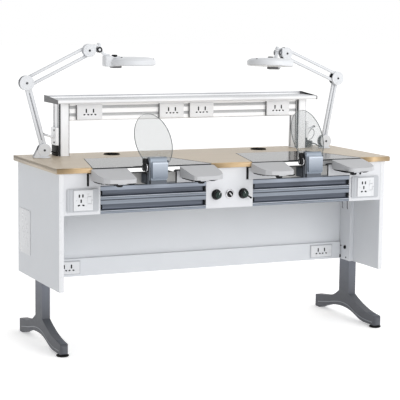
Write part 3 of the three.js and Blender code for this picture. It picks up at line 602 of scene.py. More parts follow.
def make_wall_socket(name):
    node = f"socket_box_{name}"
    dress(node, "shell", 0.0008)
    switch = centre(f"socket_rocker_{name}")
    place = facing((switch.x - 27 * MM, low(node).y, switch.z), TO_USER)
    made = Piece(f"wall_socket_{name}")
    surround = [rounded_box(140, 97, 7), rounded_box(87, 87, 3)]
    made.add(plate(surround, 3.4, 0.9), "surround", place @ shift(z=-5.8))
    step = [rounded_box(118, 92, 4), rounded_box(87, 87, 3)]
    made.add(plate(step, 1.6, 0.5), "surround", place @ shift(z=-2.8))
    rocker = rounded_box(16.7, 30.7, 0.8, 27, 0)
    holes = [*five_hole(-9.7, 0), rocker]
    cover = plate([rounded_box(86, 86, 3), *holes], 1.4, 0.5)
    made.add(cover, "socket", place @ shift(z=0.3))
    # a black sheet behind the outlet's slots paints the shade inside them
    slot_shade = rounded_box(34, 60, 1, -9.7, 0)
    made.add(plate([slot_shade], 0.25, 0.05, 1), "black", place @ shift(z=0.05))
    for width, height, y in ((12, 2.4, 27), (2.6, 7, 23)):
        mark = plate([rounded_box(width, height, 0.6)], 0.4, 0.1, 1)
        made.add(mark, "channel", place @ shift(21, y, 1.5))
    for x, y in ((-30, 0), (40, 0)):
        made.add(turned([(0, 0), (2.2, 0), (2.2, 0.4), (0, 0.8)], 24), "surround",
                 place @ shift(x, y, 1.6))
    made.done("bench")
    dress(f"socket_rocker_{name}", "socket", 0.0008)


def make_rail_modules():
    """Double sockets clipped on the power rail."""
    face, height = low("power_rail").y - 7.5 * MM, 990.5 * MM
    for number, x in enumerate((-478, -77.5, 73.5, 471.5)):
        place = facing((MID_X + x * MM, face, height), TO_USER)
        made = Piece(f"rail_socket_{number + 1}")
        made.box("module", place, (122, 68, 8), 1.6, (0, 0, -0.4))
        holes = [h for dx in (-16.5, 17.5) for h in three_pin(dx, 0)]
        socket_plate(made, place @ shift(z=3.4), rounded_box(118, 64, 2.5), holes, "module")
        made.box("endcap", place, (2.5, 67, 9), 0.8, (-61.8, 0, -0.6))
        made.done("bench")


def make_channel_sockets():
    """Double sockets on the cable channel at the foot of the back panel."""
    face = low("back_panel").y
    for name, side in SIDES:
        place = facing((MID_X + side * 637 * MM, face, 318 * MM), TO_USER)
        made = Piece(f"channel_socket_{name}")
        made.box("surround", place, (118, 60, 4), 1.2, (0, 0, 1.7))
        holes = [h for dx in (-17, 17) for h in three_pin(dx, 0)]
        socket_plate(made, place @ shift(z=3.6), rounded_box(110, 54, 3), holes)
        made.done("bench")


# ---------------------------------------------------------------- worktop and frame
def make_worktop():
    dress("worktop", "top", 0.0)
    front = FRONT_Y + 10 * MM
    paint_faces("worktop", "nosing", lambda c, n: c.y < front and n.y < -0.25)
    for name, side in SIDES:
        dress(f"steel_inlay_{name}", "steel", 0.0004)
        make_joint_line(name)
        made = Piece(f"grommet_{name}")
        place = Matrix.Translation((MID_X + side * STATION * MM, FRONT_Y + 482 * MM, TOP_Z))
        ring = [(29, 0.4), (36.5, 0.4), (37.5, 2.6), (34, 4.6), (30, 4.6), (29, 2.2), (29, 0.4)]
        made.add(turned(ring, 72, 0.0006), "matt", place)
        collar = [(30, 0.5), (32.4, 0.5), (32.4, -18), (30, -18), (30, 0.5)]
        made.add(turned(collar, 72), "black", place)
        notch = rounded_box(22, 12, 5.5, 0, -17, 6)
        lid = plate([circle(0, 0, 28.6, 72), notch], 2.2, 0.5)
        made.add(lid, "matt", place @ shift(z=0.3))
        for k in range(9):
            tuft = [(k * 2.2 - 8.8, -12.5, 1.2), (k * 2.2 - 8.8 + 0.3, -17, 0.7), (k * 2.2 - 8.6, -21, 0.9)]
            made.add(tube(mm(tuft), 0.5 * MM, 6), "rubber", place)
        made.done("bench")


def make_joint_line(name):
    """The dark line of the joint round a steel plate's two slanting edges, and a dark strip on its folded front
    lip that paints the lip's shadow.
    """
    mesh = frame["nodes"][f"steel_inlay_{name}"].data
    upper = [v.co.copy() for v in mesh.vertices if v.co.z > TOP_Z - 0.5 * MM]
    back_y = max(p.y for p in upper)
    front_y = min(p.y for p in upper)
    made = Piece(f"plate_joint_and_lip_shadow_{name}")
    for k in (-1, 1):
        back = max((p for p in upper if p.y > back_y - 4 * MM), key=lambda p, k=k: p.x * k)
        front = max((p for p in upper if p.y < back_y - 60 * MM), key=lambda p, k=k: p.x * k)
        run = front - back
        line = solid_box((run.length, 2.6 * MM, 0.6 * MM), 0.15 * MM)
        middle = (front + back) / 2
        turn = Matrix.Rotation(math.atan2(run.y, run.x), 4, "Z")
        place = Matrix.Translation((middle.x + k * 0.5 * MM, middle.y, TOP_Z + 0.1 * MM))
        made.add(line, "seam_and_shadow", place @ turn)
    # a dark strip across the folded front lip: painted shadow
    lo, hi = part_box(f"steel_inlay_{name}")
    width = hi.x - lo.x - 2 * MM
    middle = ((lo.x + hi.x) / 2, front_y - 0.6 * MM, lo.z + 3.2 * MM)
    made.add(solid_box((width, 1.2 * MM, 5.2 * MM), 0.3 * MM, middle), "seam_and_shadow")
    made.done("bench")


def make_frame():
    dress("back_panel", "laminate", 0.001)
    for name, side in SIDES:
        dress(f"side_panel_{name}", "laminate", 0.001)
        dress(f"leg_{name}", "slate", 0.0022, 3)
        make_leg_trim(name)
        make_levelling_foot(name)
        make_cover_bolts(name, side)
        make_rail(name)
        make_panel_edging(name, side)
    hatch = Piece("service_hatch")
    face = low("side_panel_left").x
    place = facing((face, FRONT_Y + 473 * MM, 470 * MM), (-1, 0, 0))
    hatch.add(plate([rounded_box(152, 198, 5)], 2.0, 0.7), "socket", place @ shift(z=0.1))
    for x, y in ((-66, -89), (66, -89), (-66, 89), (66, 89)):
        hatch.add(turned([(0, 0), (2.6, 0), (2.6, 0.5), (0, 1.0)], 24), "chrome",
                  place @ shift(x, y, 2.0))
    hatch.done("bench")


def make_panel_edging(name, side):
    """A thin pale edge band along the front and lower edges of a side panel."""
    lo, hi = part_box(f"side_panel_{name}")
    made = Piece(f"panel_edging_{name}")
    x = (hi.x - 10.75 * MM) if side > 0 else (lo.x + 10.75 * MM)
    front = (x, lo.y - 0.2 * MM, (lo.z + hi.z) / 2)
    made.add(solid_box((21 * MM, 0.8 * MM, hi.z - lo.z), 0.3 * MM, front), "socket")
    below = (x, (lo.y + hi.y) / 2, lo.z - 0.2 * MM)
    made.add(solid_box((21 * MM, hi.y - lo.y, 0.8 * MM), 0.3 * MM, below), "socket")
    made.done("bench")


def make_leg_trim(name):
    """The moulded stripe along the foot's flank and the treads on its toe."""
    lo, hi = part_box(f"leg_{name}")
    made = Piece(f"leg_trim_{name}")
    line = [(30, 24), (110, 25), (180, 38), (245, 60), (300, 66), (365, 60), (440, 44), (540, 26)]
    for x, out in ((lo.x, -1), (hi.x, 1)):
        points = [(x - out * 0.5 * MM, FRONT_Y + y * MM, z * MM) for y, z in line]
        made.add(tube(points, 1.8 * MM, 10), "stripe")
    middle = (lo.x + hi.x) / 2
    for k in range(5):
        y, z = 22 + k * 13, 54.5 + k * 1.6
        size = ((hi.x - lo.x) - 8 * MM, 5 * MM, 2.6 * MM)
        tread = solid_box(size, 1.0 * MM)
        made.add(tread, "cheek", Matrix.Translation((middle, FRONT_Y + y * MM, z * MM)) @ spin(7, "X"))
    made.done("bench")


def make_levelling_foot(name):
    node = f"levelling_foot_{name}"
    middle = centre(node)
    made = Piece(f"levelling_pad_{name}")
    place = Matrix.Translation((middle.x, middle.y, 0))
    pad = [(0, 0.2), (24, 0), (27, 2.6), (26.4, 6.5), (20, 9.4), (9, 9.6), (0, 9.6)]
    made.add(turned(pad, 72, 0.0008), "rubber", place)
    for k in range(3):
        rib = [(26.4, 3.2 + k), (27.2, 3.6 + k), (26.4, 4.0 + k)]
        made.add(turned(rib, 72), "rubber", place)
    made.add(turned([(0, 9), (5.2, 9), (5.2, 27), (0, 28)], 32), "chrome", place)
    made.done_for(node)


def bolt(radius, height):
    head = [(0, 0), (radius, 0), (radius, height * 0.6), (radius * 0.8, height), (radius * 0.42, height),
            (radius * 0.4, height * 0.5), (0, height * 0.5)]
    return turned(head, 36, 0.0003)


def make_cover_bolts(name, side):
    made = Piece(f"cover_bolts_{name}")
    lo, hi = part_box(f"side_panel_{name}")
    face = lo.x if side > 0 else hi.x
    for y, z, radius in ((288, 337, 9), (335, 288.5, 9), (326, 339, 3.6), (278, 289, 3.6)):
        place = facing((face, FRONT_Y + y * MM, z * MM), (-side, 0, 0))
        made.add(bolt(radius, radius * 0.6), "black", place @ shift(z=0.05))
    made.done("bench")


def make_rail(name):
    """The slate front rail, with dark plugs closing its slots."""
    node = f"front_rail_{name}"
    dress(node, "rail", 0.0007)
    lo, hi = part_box(node)
    face = lo.y
    split = hi.z - 30 * MM
    # painted shade: the front below the top band takes the darker copy of the anodised slate
    paint_faces(node, "rail_low", lambda c, n: c.z < split and n.y < -0.5)
    # painted shade: the slot walls are painted far darker than the rail's front
    paint_faces(node, "groove", lambda c, n: face + 2.5 * MM < c.y < hi.y - 4 * MM and abs(n.x) < 0.5)
    made = Piece(f"rail_plugs_{name}")
    bar = (hi.z - lo.z) / 2
    middle, length = (lo.x + hi.x) / 2, hi.x - lo.x - 1 * MM
    for z in (lo.z, lo.z + bar):
        for x in (lo.x + 6 * MM, hi.x - 6 * MM):
            plug = solid_box(metres(9, 8, 19), 3.5 * MM, (x, face + 6.6 * MM, z + 29 * MM))
            made.add(plug, "seam_and_shadow")
        # each bar gets a painted highlight strip along its slot's lower lip, a dark line under it and a dark line
        # along its top; on the lower bar that top line is the joint with the upper bar, on the upper bar it paints
        # the shadow along the rail's top edge
        for height, deep, finish in ((12.8, 2.2, "glint"), (9.4, 1.0, "seam_and_shadow"), (57.6, 1.8, "seam_and_shadow")):
            place = (middle, face - 0.1 * MM, z + height * MM)
            made.add(solid_box((length, 0.6 * MM, deep * MM), 0.2 * MM, place), finish)
    made.done("bench")


# ---------------------------------------------------------------- controls
def make_controls():
    dress("control_box", "shell", 0.0008)
    trim = Piece("control_trim")
    face = low("control_box").y
    for joint in ("gas_valve_turn", "power_key_turn", "air_valve_turn"):
        place = facing((pivot(joint).x, face, pivot(joint).z), TO_USER)
        ring, finish = [(19.8, 0.1), (23, 0.1), (23, 2.0), (21.4, 3.4), (19.8, 3.4), (19.8, 0.1)], "black"
        if joint == "power_key_turn":
            ring = [(13.6, 0.1), (19.8, 0.1), (19.8, 1.8), (17.6, 3.6), (15.0, 3.6), (13.6, 2.2), (13.6, 0.1)]
            finish = "chrome"
        trim.add(turned(ring, 72, 0.0005), finish, place)
    trim.done("bench")

    seat, row = FRONT_Y + 16.5 * MM, pivot("power_key_turn").z
    for valve, lean in (("gas_valve", -29), ("air_valve", 23)):
        node = f"{valve}_knob"
        place = facing((pivot(f"{valve}_turn").x, seat, row), TO_USER)
        made = Piece(f"{node}_grip")
        skirt = [(0, 0), (19.2, 0), (19.5, 3), (18.6, 10), (18, 18.5), (16.5, 21), (12, 21.4), (0, 20.6)]
        made.add(lobed(skirt, 18, 0.035, 144, 0.0008), "black", place)
        cap = [(0, 21), (14, 21), (14.5, 21.8), (12, 23.6), (0, 24.2)]
        made.add(turned(cap, 72, 0.0005), "green", place)
        bar = solid_box(metres(7, 31, 6), 1.6 * MM, metres(0, 0, 23.2), 4)
        made.add(bar, "green", place @ spin(lean))
        made.box("socket", place @ spin(lean), (1.4, 12, 0.5), 0.2, (0, 9.5, 26.1))
        if node == "air_valve_knob":
            lever = [(0, 0, 14), (16, 0, 14.5), (36, 0, 15)]
            made.add(tube(mm(lever), 3.4 * MM, 20), "black", place @ spin(-31.5))
            tip = [(0, -2.6), (3.6, -2.4), (4.6, 2), (3.8, 5), (0, 6)]
            made.add(turned(tip, 32, 0.0008), "black",
                     place @ spin(-31.5) @ shift(34, 0, 15) @ spin(90, "Y"))
        made.done_for(node)

    node = "power_key_switch"
    place = facing((pivot("power_key_turn").x, seat, row), TO_USER)
    made = Piece("power_key_core")
    core = [(0, 0), (12.8, 0), (12.8, 5), (11.5, 7.4), (0, 8)]
    made.add(turned(core, 64, 0.0006), "black", place)
    made.box("socket", place @ spin(43), (4.2, 17, 6), 0.8, (0, 0, 9.6))
    made.done_for(node)


# ---------------------------------------------------------------- work stations
def make_carrier(name, side):
    node = f"rest_carrier_{name}"
    dress(node, "shell", 0.0006)
    x0 = side * STATION
    made = Piece(f"carrier_trim_and_gap_shade_{name}")
    for k in (-1, 1):
        # black strips at the fascia's outer ends, beside the tray and along the top of the white panels: painted
        # shade in those gaps
        block(made, "black", (x0 + k * 280.6, x0 + k * 290.2), (20, 39.6), (718.2, 768), 0.5)
        block(made, "black", (x0 + k * 114.2, x0 + k * 119.6), (22, 39.6), (718.2, 768), 0.5)
        block(made, "black", (x0 + k * 120.5, x0 + k * 279.5), (21, 45.5), (769.1, 771.6), 0.6)
        under = (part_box(f"hand_rest_{name}_{'left' if k < 0 else 'right'}_hand")[0].z) / MM - 8.8
        block(made, "cheek", (x0 + k * 164.5, x0 + k * 207.5), (-116, 17.5), (under, under + 1.0), 0.3)
    made.done("bench")


def make_rest(name, hand, outward):
    """A hand rest, the treads under it and its clamp knob. Outward is the sign of its outer side along X."""
    node = f"hand_rest_{name}_{hand}_hand"
    dress(node, "rest", 0.006, 5)
    lo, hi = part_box(node)
    made = Piece(f"rest_slide_{name}_{hand}_hand")
    x = [(lo.x - MID_X) / MM, (hi.x - MID_X) / MM]
    y = [(lo.y - FRONT_Y) / MM, (hi.y - FRONT_Y) / MM]
    stud = pivot(f"rest_knob_turn_{name}_{hand}_hand")
    near = (stud.x - MID_X) / MM
    under = lo.z / MM
    edge = {-1: x[0] + 9, 1: x[1] - 9}
    for hand_side in (-1, 1):
        # The outer front corner is rounded, so the tread stands back from it.
        corner = 46 if hand_side == outward else 8
        beside = near + hand_side * 24
        span = (beside, edge[hand_side])
        block(made, "black", span, (y[0] + 12 + corner, y[1] - 3), (under - 4.5, under - 0.1), 0.8)
        for row in range(9):
            front = y[0] + 16 + row * 14
            end = edge[hand_side] - hand_side * max(0, corner - row * 14)
            block(made, "black", (beside, end), (front, front + 6), (under - 6.3, under - 0.1), 0.6)
    made.done(body_of[node])

    knob_node = f"rest_knob_{name}_{hand}_hand"
    bottom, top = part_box(knob_node)
    grip = Piece(f"rest_knob_grip_{name}_{hand}_hand")
    place = Matrix.Translation((stud.x, stud.y, bottom.z))
    profile = [(0, 0.6), (9, 0), (13, 1.4), (15, 4.4), (15, 9.2), (13, 11.8), (10, 13), (5, 13), (0, 13)]
    grip.add(lobed(profile, 7, 0.16, 112, 0.001), "black", place)
    height = (top.z - bottom.z) / MM
    stem = [(0, 12), (4.9, 12), (4.9, height - 0.8), (4.1, height), (0, height)]
    grip.add(turned(stem, 32), "chrome", place)
    grip.done_for(knob_node)


def make_drawer(name, side):
    node = f"dust_drawer_{name}"
    dress(node, "drawer", 0.0006)
    x0 = side * STATION
    lip = Piece(f"drawer_lip_{name}")
    block(lip, "drawer", (x0 + 37, x0 + 111), (14.4, 18.4), (757.5, 765), 1.6)
    block(lip, "cheek", (x0 + 37, x0 + 111.5), (17.4, 18.6), (719.5, 722.5), 0.4)
    lip.done_on(node)


def make_hood(name, side):
    node = f"suction_head_{name}"
    x0 = side * STATION
    lo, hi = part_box(node)
    dress(node, "hood", 0.0022, 4)
    cheek = lo.x + 6.6 * MM
    recess = lo.y + 4 * MM
    sill = 0.745
    behind = FRONT_Y - 40 * MM
    paint_faces(node, "cheek", lambda c, n: c.x < cheek)
    # painted shade: the recessed front below the flap takes the dark cheek colour
    paint_faces(node, "cheek", lambda c, n: c.z < sill and c.y > recess and n.y < -0.5)
    paint_faces(node, "black", lambda c, n: c.y > behind)

    made = Piece(f"suction_trim_{name}")
    # a ribbed dark sleeve over the duct, between the nozzle and the drawer; its black also paints the shade beside
    # the nozzle
    block(made, "black", (x0 - 45.6, x0 - 43.8), (-41, 17.6), (725, 767), 0.6)
    block(made, "black", (x0 - 45.6, x0 + 28), (-41, 17.6), (765.6, 767.4), 0.6)
    for k in range(7):
        block(made, "cheek", (x0 - 46.4, x0 - 45.2), (-37 + k * 8, -33.5 + k * 8), (726, 766), 0.4)
    # a shadow line between the cheek and the nozzle
    outline = [(-66, 726), (-44, 726), (-44, 822), (-50, 837.5), (-58, 833), (-63, 812)]
    place = Matrix(((0, 0, 1, 0), (1, 0, 0, 0), (0, 1, 0, 0), (0, 0, 0, 1)))
    made.add(plate([outline], 1.6, 0.4), "black", Matrix.Translation(at(x0 - 38.4, 0, 0)) @ place)
    boss = [(0, -2), (3.6, -2), (3.6, 4), (5.6, 4.2), (5.6, 9), (4.6, 10.4), (0, 10.8)]
    flank = (hi.x - MID_X) / MM
    made.add(turned(boss, 48, 0.0005), "cheek", facing(at(flank, -52, 818), (1, 0, 0)))
    for z in (735, 760):
        made.add(bolt(3.2, 2.0), "screw", facing(at(flank, -52, z), (1, 0, 0)) @ shift(z=0.05))
    made.done_on(node)

    flap = f"suction_flap_{name}"
    dress(flap, "flap", 0.0022, 4)
    a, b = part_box(flap)
    grip = Piece(f"flap_grip_{name}")
    middle = ((a.x + b.x) / 2, a.y + 0.2 * MM, a.z + 6 * MM)
    grip.add(solid_box(metres(34, 3, 3), 1.2 * MM, middle), "flap")
    grip.done_on(flap)


def round_sheet(node):
    """A round sheet with one straight edge: its place, then radius, cut height and thickness in mm."""
    mesh = frame["nodes"][node].data
    largest = max(mesh.polygons, key=lambda face: face.area)
    out = largest.normal.copy()
    if out.y > 0:
        out.negate()
    points = [v.co.copy() for v in mesh.vertices]
    mean = sum(points, Vector()) / len(points)
    across = UP.cross(out).normalized()
    rise = out.cross(across)
    flat = [((p - mean).dot(across), (p - mean).dot(rise)) for p in points]
    thick = max((p - mean).dot(out) for p in points) - min((p - mean).dot(out) for p in points)
    # three far apart rim points give the circle
    a = max(flat, key=lambda q: q[0])
    b = max(flat, key=lambda q: q[1])
    c = min(flat, key=lambda q: q[0])
    d = 2 * (a[0] * (b[1] - c[1]) + b[0] * (c[1] - a[1]) + c[0] * (a[1] - b[1]))
    squares = [q[0] ** 2 + q[1] ** 2 for q in (a, b, c)]
    cx = (squares[0] * (b[1] - c[1]) + squares[1] * (c[1] - a[1]) + squares[2] * (a[1] - b[1])) / d
    cy = (squares[0] * (c[0] - b[0]) + squares[1] * (a[0] - c[0]) + squares[2] * (b[0] - a[0])) / d
    radius = math.hypot(a[0] - cx, a[1] - cy)
    cut = cy - min(q[1] for q in flat)
    middle = mean + across * cx + rise * cy
    place = axes(across, rise, out, middle - out * (thick / 2))
    return place, radius / MM, cut / MM, thick / MM


def clipped_circle(radius, cut, steps=120):
    start = -math.degrees(math.asin(min(1.0, cut / radius)))
    return arc(0, 0, radius, start, 180 - start, steps)


def make_shield(name):
    node = f"shield_glass_{name}"
    place, radius, cut, thick = round_sheet(node)
    glass = Piece(f"shield_pane_{name}")
    ground = 0.9
    inner = clipped_circle(radius - ground, cut - ground)
    glass.add(plate([inner], thick * 0.96, 0.05, 1), "glass", place)
    glass.add(plate([clipped_circle(radius, cut), inner], thick, 0.35), "rim", place)
    glass.done_for(node)

    clamp = f"shield_clamp_{name}"
    dress(clamp, "black", 0.0012, 3)
    axle = pivot(f"shield_tilt_{name}")
    base = facing((low(clamp).x, axle.y, axle.z), (-1, 0, 0))
    knob = Piece(f"shield_knob_{name}")
    ring = [(14.6, -8.6), (18.6, -8.6), (18.6, -6.4), (17.4, -5.2), (15.4, -5.2), (14.6, -6.2), (14.6, -8.6)]
    knob.add(turned(ring, 72, 0.0004), "chrome", base @ shift(z=-5.2))
    grip = [(0, -11), (14.4, -11), (14.9, -9), (14.9, -1.2), (13.2, 0.6), (10, 1.4), (0, 1.6)]
    knob.add(lobed(grip, 12, 0.07, 120, 0.0008), "black", base)
    knob.add(turned([(0, 1.2), (5, 1.2), (5, 2.2), (0, 2.5)], 40), "chrome", base)
    knob.done_on(clamp)


# ---------------------------------------------------------------- posts, shelf and cables
def make_posts():
    for name, side in SIDES:
        node = f"post_{name}"
        dress(node, "post", 0.0005)
        lo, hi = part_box(node)
        slots = ((lo.x + 0.8 * MM, lo.x + 7 * MM), (hi.x - 7 * MM, hi.x - 0.8 * MM))
        paint_faces(node, "tee", lambda c, n, s=slots: any(a < c.x < b for a, b in s) and abs(n.z) < 0.5)
        made = Piece(f"post_fittings_{name}")
        outer = (hi.x if side > 0 else lo.x) + side * 5.2 * MM
        foot = (outer, lo.y + 44 * MM, TOP_Z + 24 * MM)
        made.add(solid_box(metres(9.6, 70, 46), 1.6 * MM, foot), "black")
        middle = (lo.x + hi.x) / 2
        for y in (lo.y + 20 * MM, hi.y - 16 * MM):
            for face, out in ((lo.x, -1), (hi.x, 1)):
                size = (0.5 * MM, 7.4 * MM, hi.z - lo.z - 8 * MM)
                made.add(solid_box(size, 0.2 * MM, (face - out * 5.6 * MM, y, (lo.z + hi.z) / 2)), "tee")
        cap = (hi.x - lo.x + 5 * MM, 74 * MM, 2.4 * MM)
        made.add(solid_box(cap, 0.8 * MM, (middle, (lo.y + hi.y) / 2 + 4 * MM, TOP_Z + 1.5 * MM)), "post")
        made.done("bench")


def make_clamps():
    for name, side in SIDES:
        node = f"post_clamp_{name}"
        dress(node, "post", 0.0016, 3)
        lo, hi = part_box(node)
        stem = (lo.x + hi.x) / 2 + side * 12 * MM
        paint_faces(node, "surround", lambda c, n, k=side, s=stem: c.x * k > s * k)
        made = Piece(f"clamp_knob_{name}")
        end = Vector((hi.x if side > 0 else lo.x, (lo.y + hi.y) / 2, 0))
        end.z = (lo.z + hi.z) / 2 + (11 * MM)
        ball = [(0, -5.5), (3.5, -5), (5.4, -2), (5.4, 2), (3.5, 5), (0, 5.5)]
        made.add(turned(ball, 32, 0.001), "endcap",
                 Matrix.Translation(end - Vector((side * 3 * MM, 0, 0))) @ spin(90, "Y"))
        face = (lo.x if side > 0 else hi.x) + side * 5.2 * MM
        for z in (lo.z + 12 * MM, hi.z - 12 * MM):
            place = facing((face + side * 14 * MM, lo.y + 20 * MM, z), (side, 0, 0))
            made.add(bolt(4.2, 2.6), "screw", place)
        made.done_on(node)


def make_shelf():
    dress("shelf", "shelf", 0.0009)
    lo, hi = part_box("shelf")
    cap = 5.2 * MM
    paint_faces("shelf", "endcap", lambda c, n: c.x < lo.x + cap or c.x > hi.x - cap)
    dress("power_rail", "bright", 0.0007)
    groove = low("power_rail").y + 1.5 * MM
    # the groove backs take a mid grey that also glows faintly: painted light
    paint_faces("power_rail", "channel", lambda c, n: c.y > groove and n.y < -0.5)
    # painted shade: the groove's downward-facing upper faces take a darker grey
    paint_faces("power_rail", "surround", lambda c, n: groove < c.y < groove + 6 * MM and n.z < -0.5)
    made = Piece("shelf_trim")
    width = hi.x - lo.x - 12 * MM
    middle = (lo.x + hi.x) / 2
    line = solid_box((width, 1.2 * MM, 6 * MM), 0.4 * MM, (middle, hi.y - 11.4 * MM, lo.z + 24.5 * MM))
    made.add(line, "surround")
    mat = solid_box((width - 6 * MM, 120 * MM, 0.9 * MM), 0.3 * MM)
    made.add(mat, "shelf", Matrix.Translation((middle, lo.y + 72 * MM, lo.z + 16.4 * MM + 1.0 * MM)))
    for k in range(5):
        y = lo.y + (24 + 24 * k) * MM
        rib = solid_box((width - 8 * MM, 1.4 * MM, 0.8 * MM), 0.3 * MM, (middle, y, lo.z + 18.0 * MM))
        made.add(rib, "surround")
    made.done("bench")


def lay(piece, route, radius, finish, sides=12):
    """Adds a tube along a route given in the bench's millimetres."""
    piece.add(tube([at(*point) for point in route], radius * MM, sides), finish)


def make_cables():
    """Short fixed leads between the lamp bases and the posts, and the tied bundle by the right post."""
    made = Piece("lamp_leads")
    for side in (-1, 1):
        lead = ((690, 462, 803), (674, 476, 815), (654, 488, 818), (636, 500, 812))
        sleeve = ((700, 452, 801), (693, 459, 802.2), (688, 464, 804))
        for route, radius, finish in ((lead, 2.6, "cord"), (sleeve, 4.2, "black")):
            lay(made, [(side * x, y, z) for x, y, z in route], radius, finish)
    made.done("bench")
    bundle = Piece("tied_cable_bundle")
    for k in range(4):
        z, y = 803 + 7.0 * k, 505 + 4 * (k % 2)
        route = [(634, y, z), (648, y - 14, z + 2), (668, y - 10, z + 1), (676, y + 8, z),
                 (664, y + 20, z + 1), (642, y + 16, z), (634, y + 6, z + 2)]
        lay(bundle, route, 2.9, "olive" if k < 2 else "cord")
    bundle.add(solid_box(metres(5, 34, 31), 1.4 * MM, at(655, 508, 815)), "black")
    loop = [(636, 500, 832), (640, 494, 850), (648, 490, 872), (660, 488, 886), (672, 488, 880),
            (674, 490, 858), (664, 494, 840), (652, 498, 834)]
    lay(bundle, loop, 1.3, "cord", 10)
    bundle.done("bench")
    rods = Piece("hook_rods")
    for x, z0, z1 in ((568, 568, 599), (594, 562, 599)):
        route = [(x, 22, z1), (x, 21, (z0 + z1) / 2), (x, 20, z0 + 5), (x + 2.5, 17, z0)]
        lay(rods, route, 1.5, "screw")
    rods.done("bench")


# ---------------------------------------------------------------- balanced-arm lamps
def lamp_screw(piece, place, radius=5.0):
    head = [(0, 0.2), (radius, 0.2), (radius, 1.6), (radius * 0.8, 2.4), (radius * 0.5, 2.4),
            (radius * 0.46, 0.8), (0, 0.8)]
    piece.add(turned(head, 40, 0.0003), "screw", place)


def joint_discs(piece, place, radius, inner=12.0, outer=17.0, liner=True):
    """Two round cheeks about a lamp pivot, each with a stepped rim, a screw and a dark liner inside."""
    for out in (1, -1):
        cheek = [(0, inner), (radius - 1, inner), (radius, inner + 1.2), (radius, outer - 1.6),
                 (radius - 2, outer), (radius - 7, outer), (radius - 7.8, outer - 0.5),
                 (radius - 8.8, outer - 0.5), (radius - 9.6, outer), (0, outer)]
        lining = [(0, inner - 0.7), (radius - 2.6, inner - 0.7), (radius - 2.6, inner + 0.2),
                  (0, inner + 0.2)]
        flip = place if out > 0 else place @ spin(180, "X")
        piece.add(turned(cheek, 80, 0.0004), "lamp", flip)
        if liner:
            piece.add(turned(lining, 72), "black", flip)
        lamp_screw(piece, flip @ shift(z=outer))
    piece.add(turned([(0, -inner), (7, -inner), (7, inner), (0, inner)], 40), "chrome", place)


def make_lamp(name):
    foot, shoulder = pivot(f"lamp_base_turn_{name}"), pivot(f"lamp_lower_arm_swing_{name}")
    elbow, wrist = pivot(f"lamp_upper_arm_swing_{name}"), pivot(f"lamp_head_level_{name}")
    swivel = pivot(f"lamp_yoke_turn_{name}")
    flank = axis_of(f"lamp_lower_arm_swing_{name}")

    def upright(origin):
        """X along the arm plane towards the head, Y up, Z along the pivot."""
        ahead = UP.cross(-flank).normalized()
        return axes(ahead, UP, ahead.cross(UP), origin)

    def along(start, end):
        """X from start to end, Z along the pivot."""
        ahead = (end - start).normalized()
        out = upright(start).to_3x3().col[2]
        return axes(ahead, out.cross(ahead), out, start)

    make_lamp_base(name, foot, upright(shoulder))
    made = Piece(f"lamp_elbow_cover_{name}")
    joint_discs(made, upright(elbow), 33)
    made.box("black", upright(elbow), (6, 16, 20), 1.6, (27, -2, 0))
    made.done(body_of[f"lamp_elbow_{name}"], [f"lamp_elbow_{name}"])

    for part, start, end in (("lower", shoulder, elbow), ("upper", elbow, wrist)):
        node = f"lamp_{part}_arm_{name}"
        place = along(start, end)
        offset = (centre(node) - start).dot(place.to_3x3().col[2])
        make_arm(node, place @ Matrix.Translation((0, 0, offset)), (end - start).length / MM, part)
    make_wrist(name, upright(wrist), (swivel - wrist))
    make_head(name, swivel)


def make_lamp_base(name, foot, place):
    node = f"lamp_base_{name}"
    made = Piece(f"lamp_stand_{name}")
    floor = Matrix.Translation((foot.x, foot.y, TOP_Z))
    flange = [(0, 0.3), (29.6, 0.3), (29.8, 3.0), (28, 4.6), (20, 5.2), (0, 5.2)]
    made.add(turned(flange, 80, 0.001), "lamp", floor)
    foot_z = (TOP_Z - place.translation.z) / MM + 0.4
    # The left base stands on a longer foot than the right one.
    back = 46.8 if name == "left" else 16.8
    made.box("lamp", place, (back, 4.8, 34), 1.2, (-back / 2, foot_z + 2.4, 0))
    rib = [(-back, foot_z + 0.6), (14, foot_z + 0.6), (14, -10), (0, 16), (max(-back, -24.5), 15.5),
           (-back, foot_z + 7.5)]
    for out in (1, -1):
        made.add(plate([rib], 3.5, 0.5), "lamp", place @ shift(z=12 if out > 0 else -15.5))
    joint_discs(made, place, 30)
    stem = [(0, -31.5), (6.8, -31.5), (6.8, 0.4), (0, 0.4)]
    made.add(turned(stem, 32), "chrome", floor)
    nut = plate([circle(0, 0, 15, 6)], 7.4, 0.8)
    made.add(nut, "chrome", Matrix.Translation((foot.x, foot.y, low(node).z)))
    made.done_for(node)


def make_arm(node, place, length, part):
    """Two parallel bars on round ends length millimetres apart, closer together in the lower arm."""
    made = Piece(f"{node}_bars")
    apart, half, end = (8.2, 7.2, 15.4) if part == "lower" else (17.6, 7.2, 24.6)
    for x in (0, length):
        eye = plate([circle(0, 0, end, 56), circle(0, 0, 7.4, 36)], 7, 1.0)
        made.add(eye, "lamp", place @ shift(x, 0, -3.5))
    inset = half + 1.5
    for y in (-apart, apart):
        bar = plate([capsule(length - inset * 2, half, 20)], 10, 3.2, 5)
        made.add(bar, "lamp", place @ shift(inset, y, -5))
        # grey strips along both edges of each bar, on both faces, stand for the folded edges of a channel bar and
        # paint the shade along them
        for edge in (-4.6, 4.6):
            for out in (-1, 1):
                edge_shade = place @ shift(length / 2, y + edge, out * 4.9)
                made.box("surround", edge_shade, (length - 40, 1.3, 0.5), 0.2)
    if part == "lower":
        made.box("tee", place, (length - 90, 3, 3), 1.0, (length / 2, 0, 0))
    made.done_for(node)


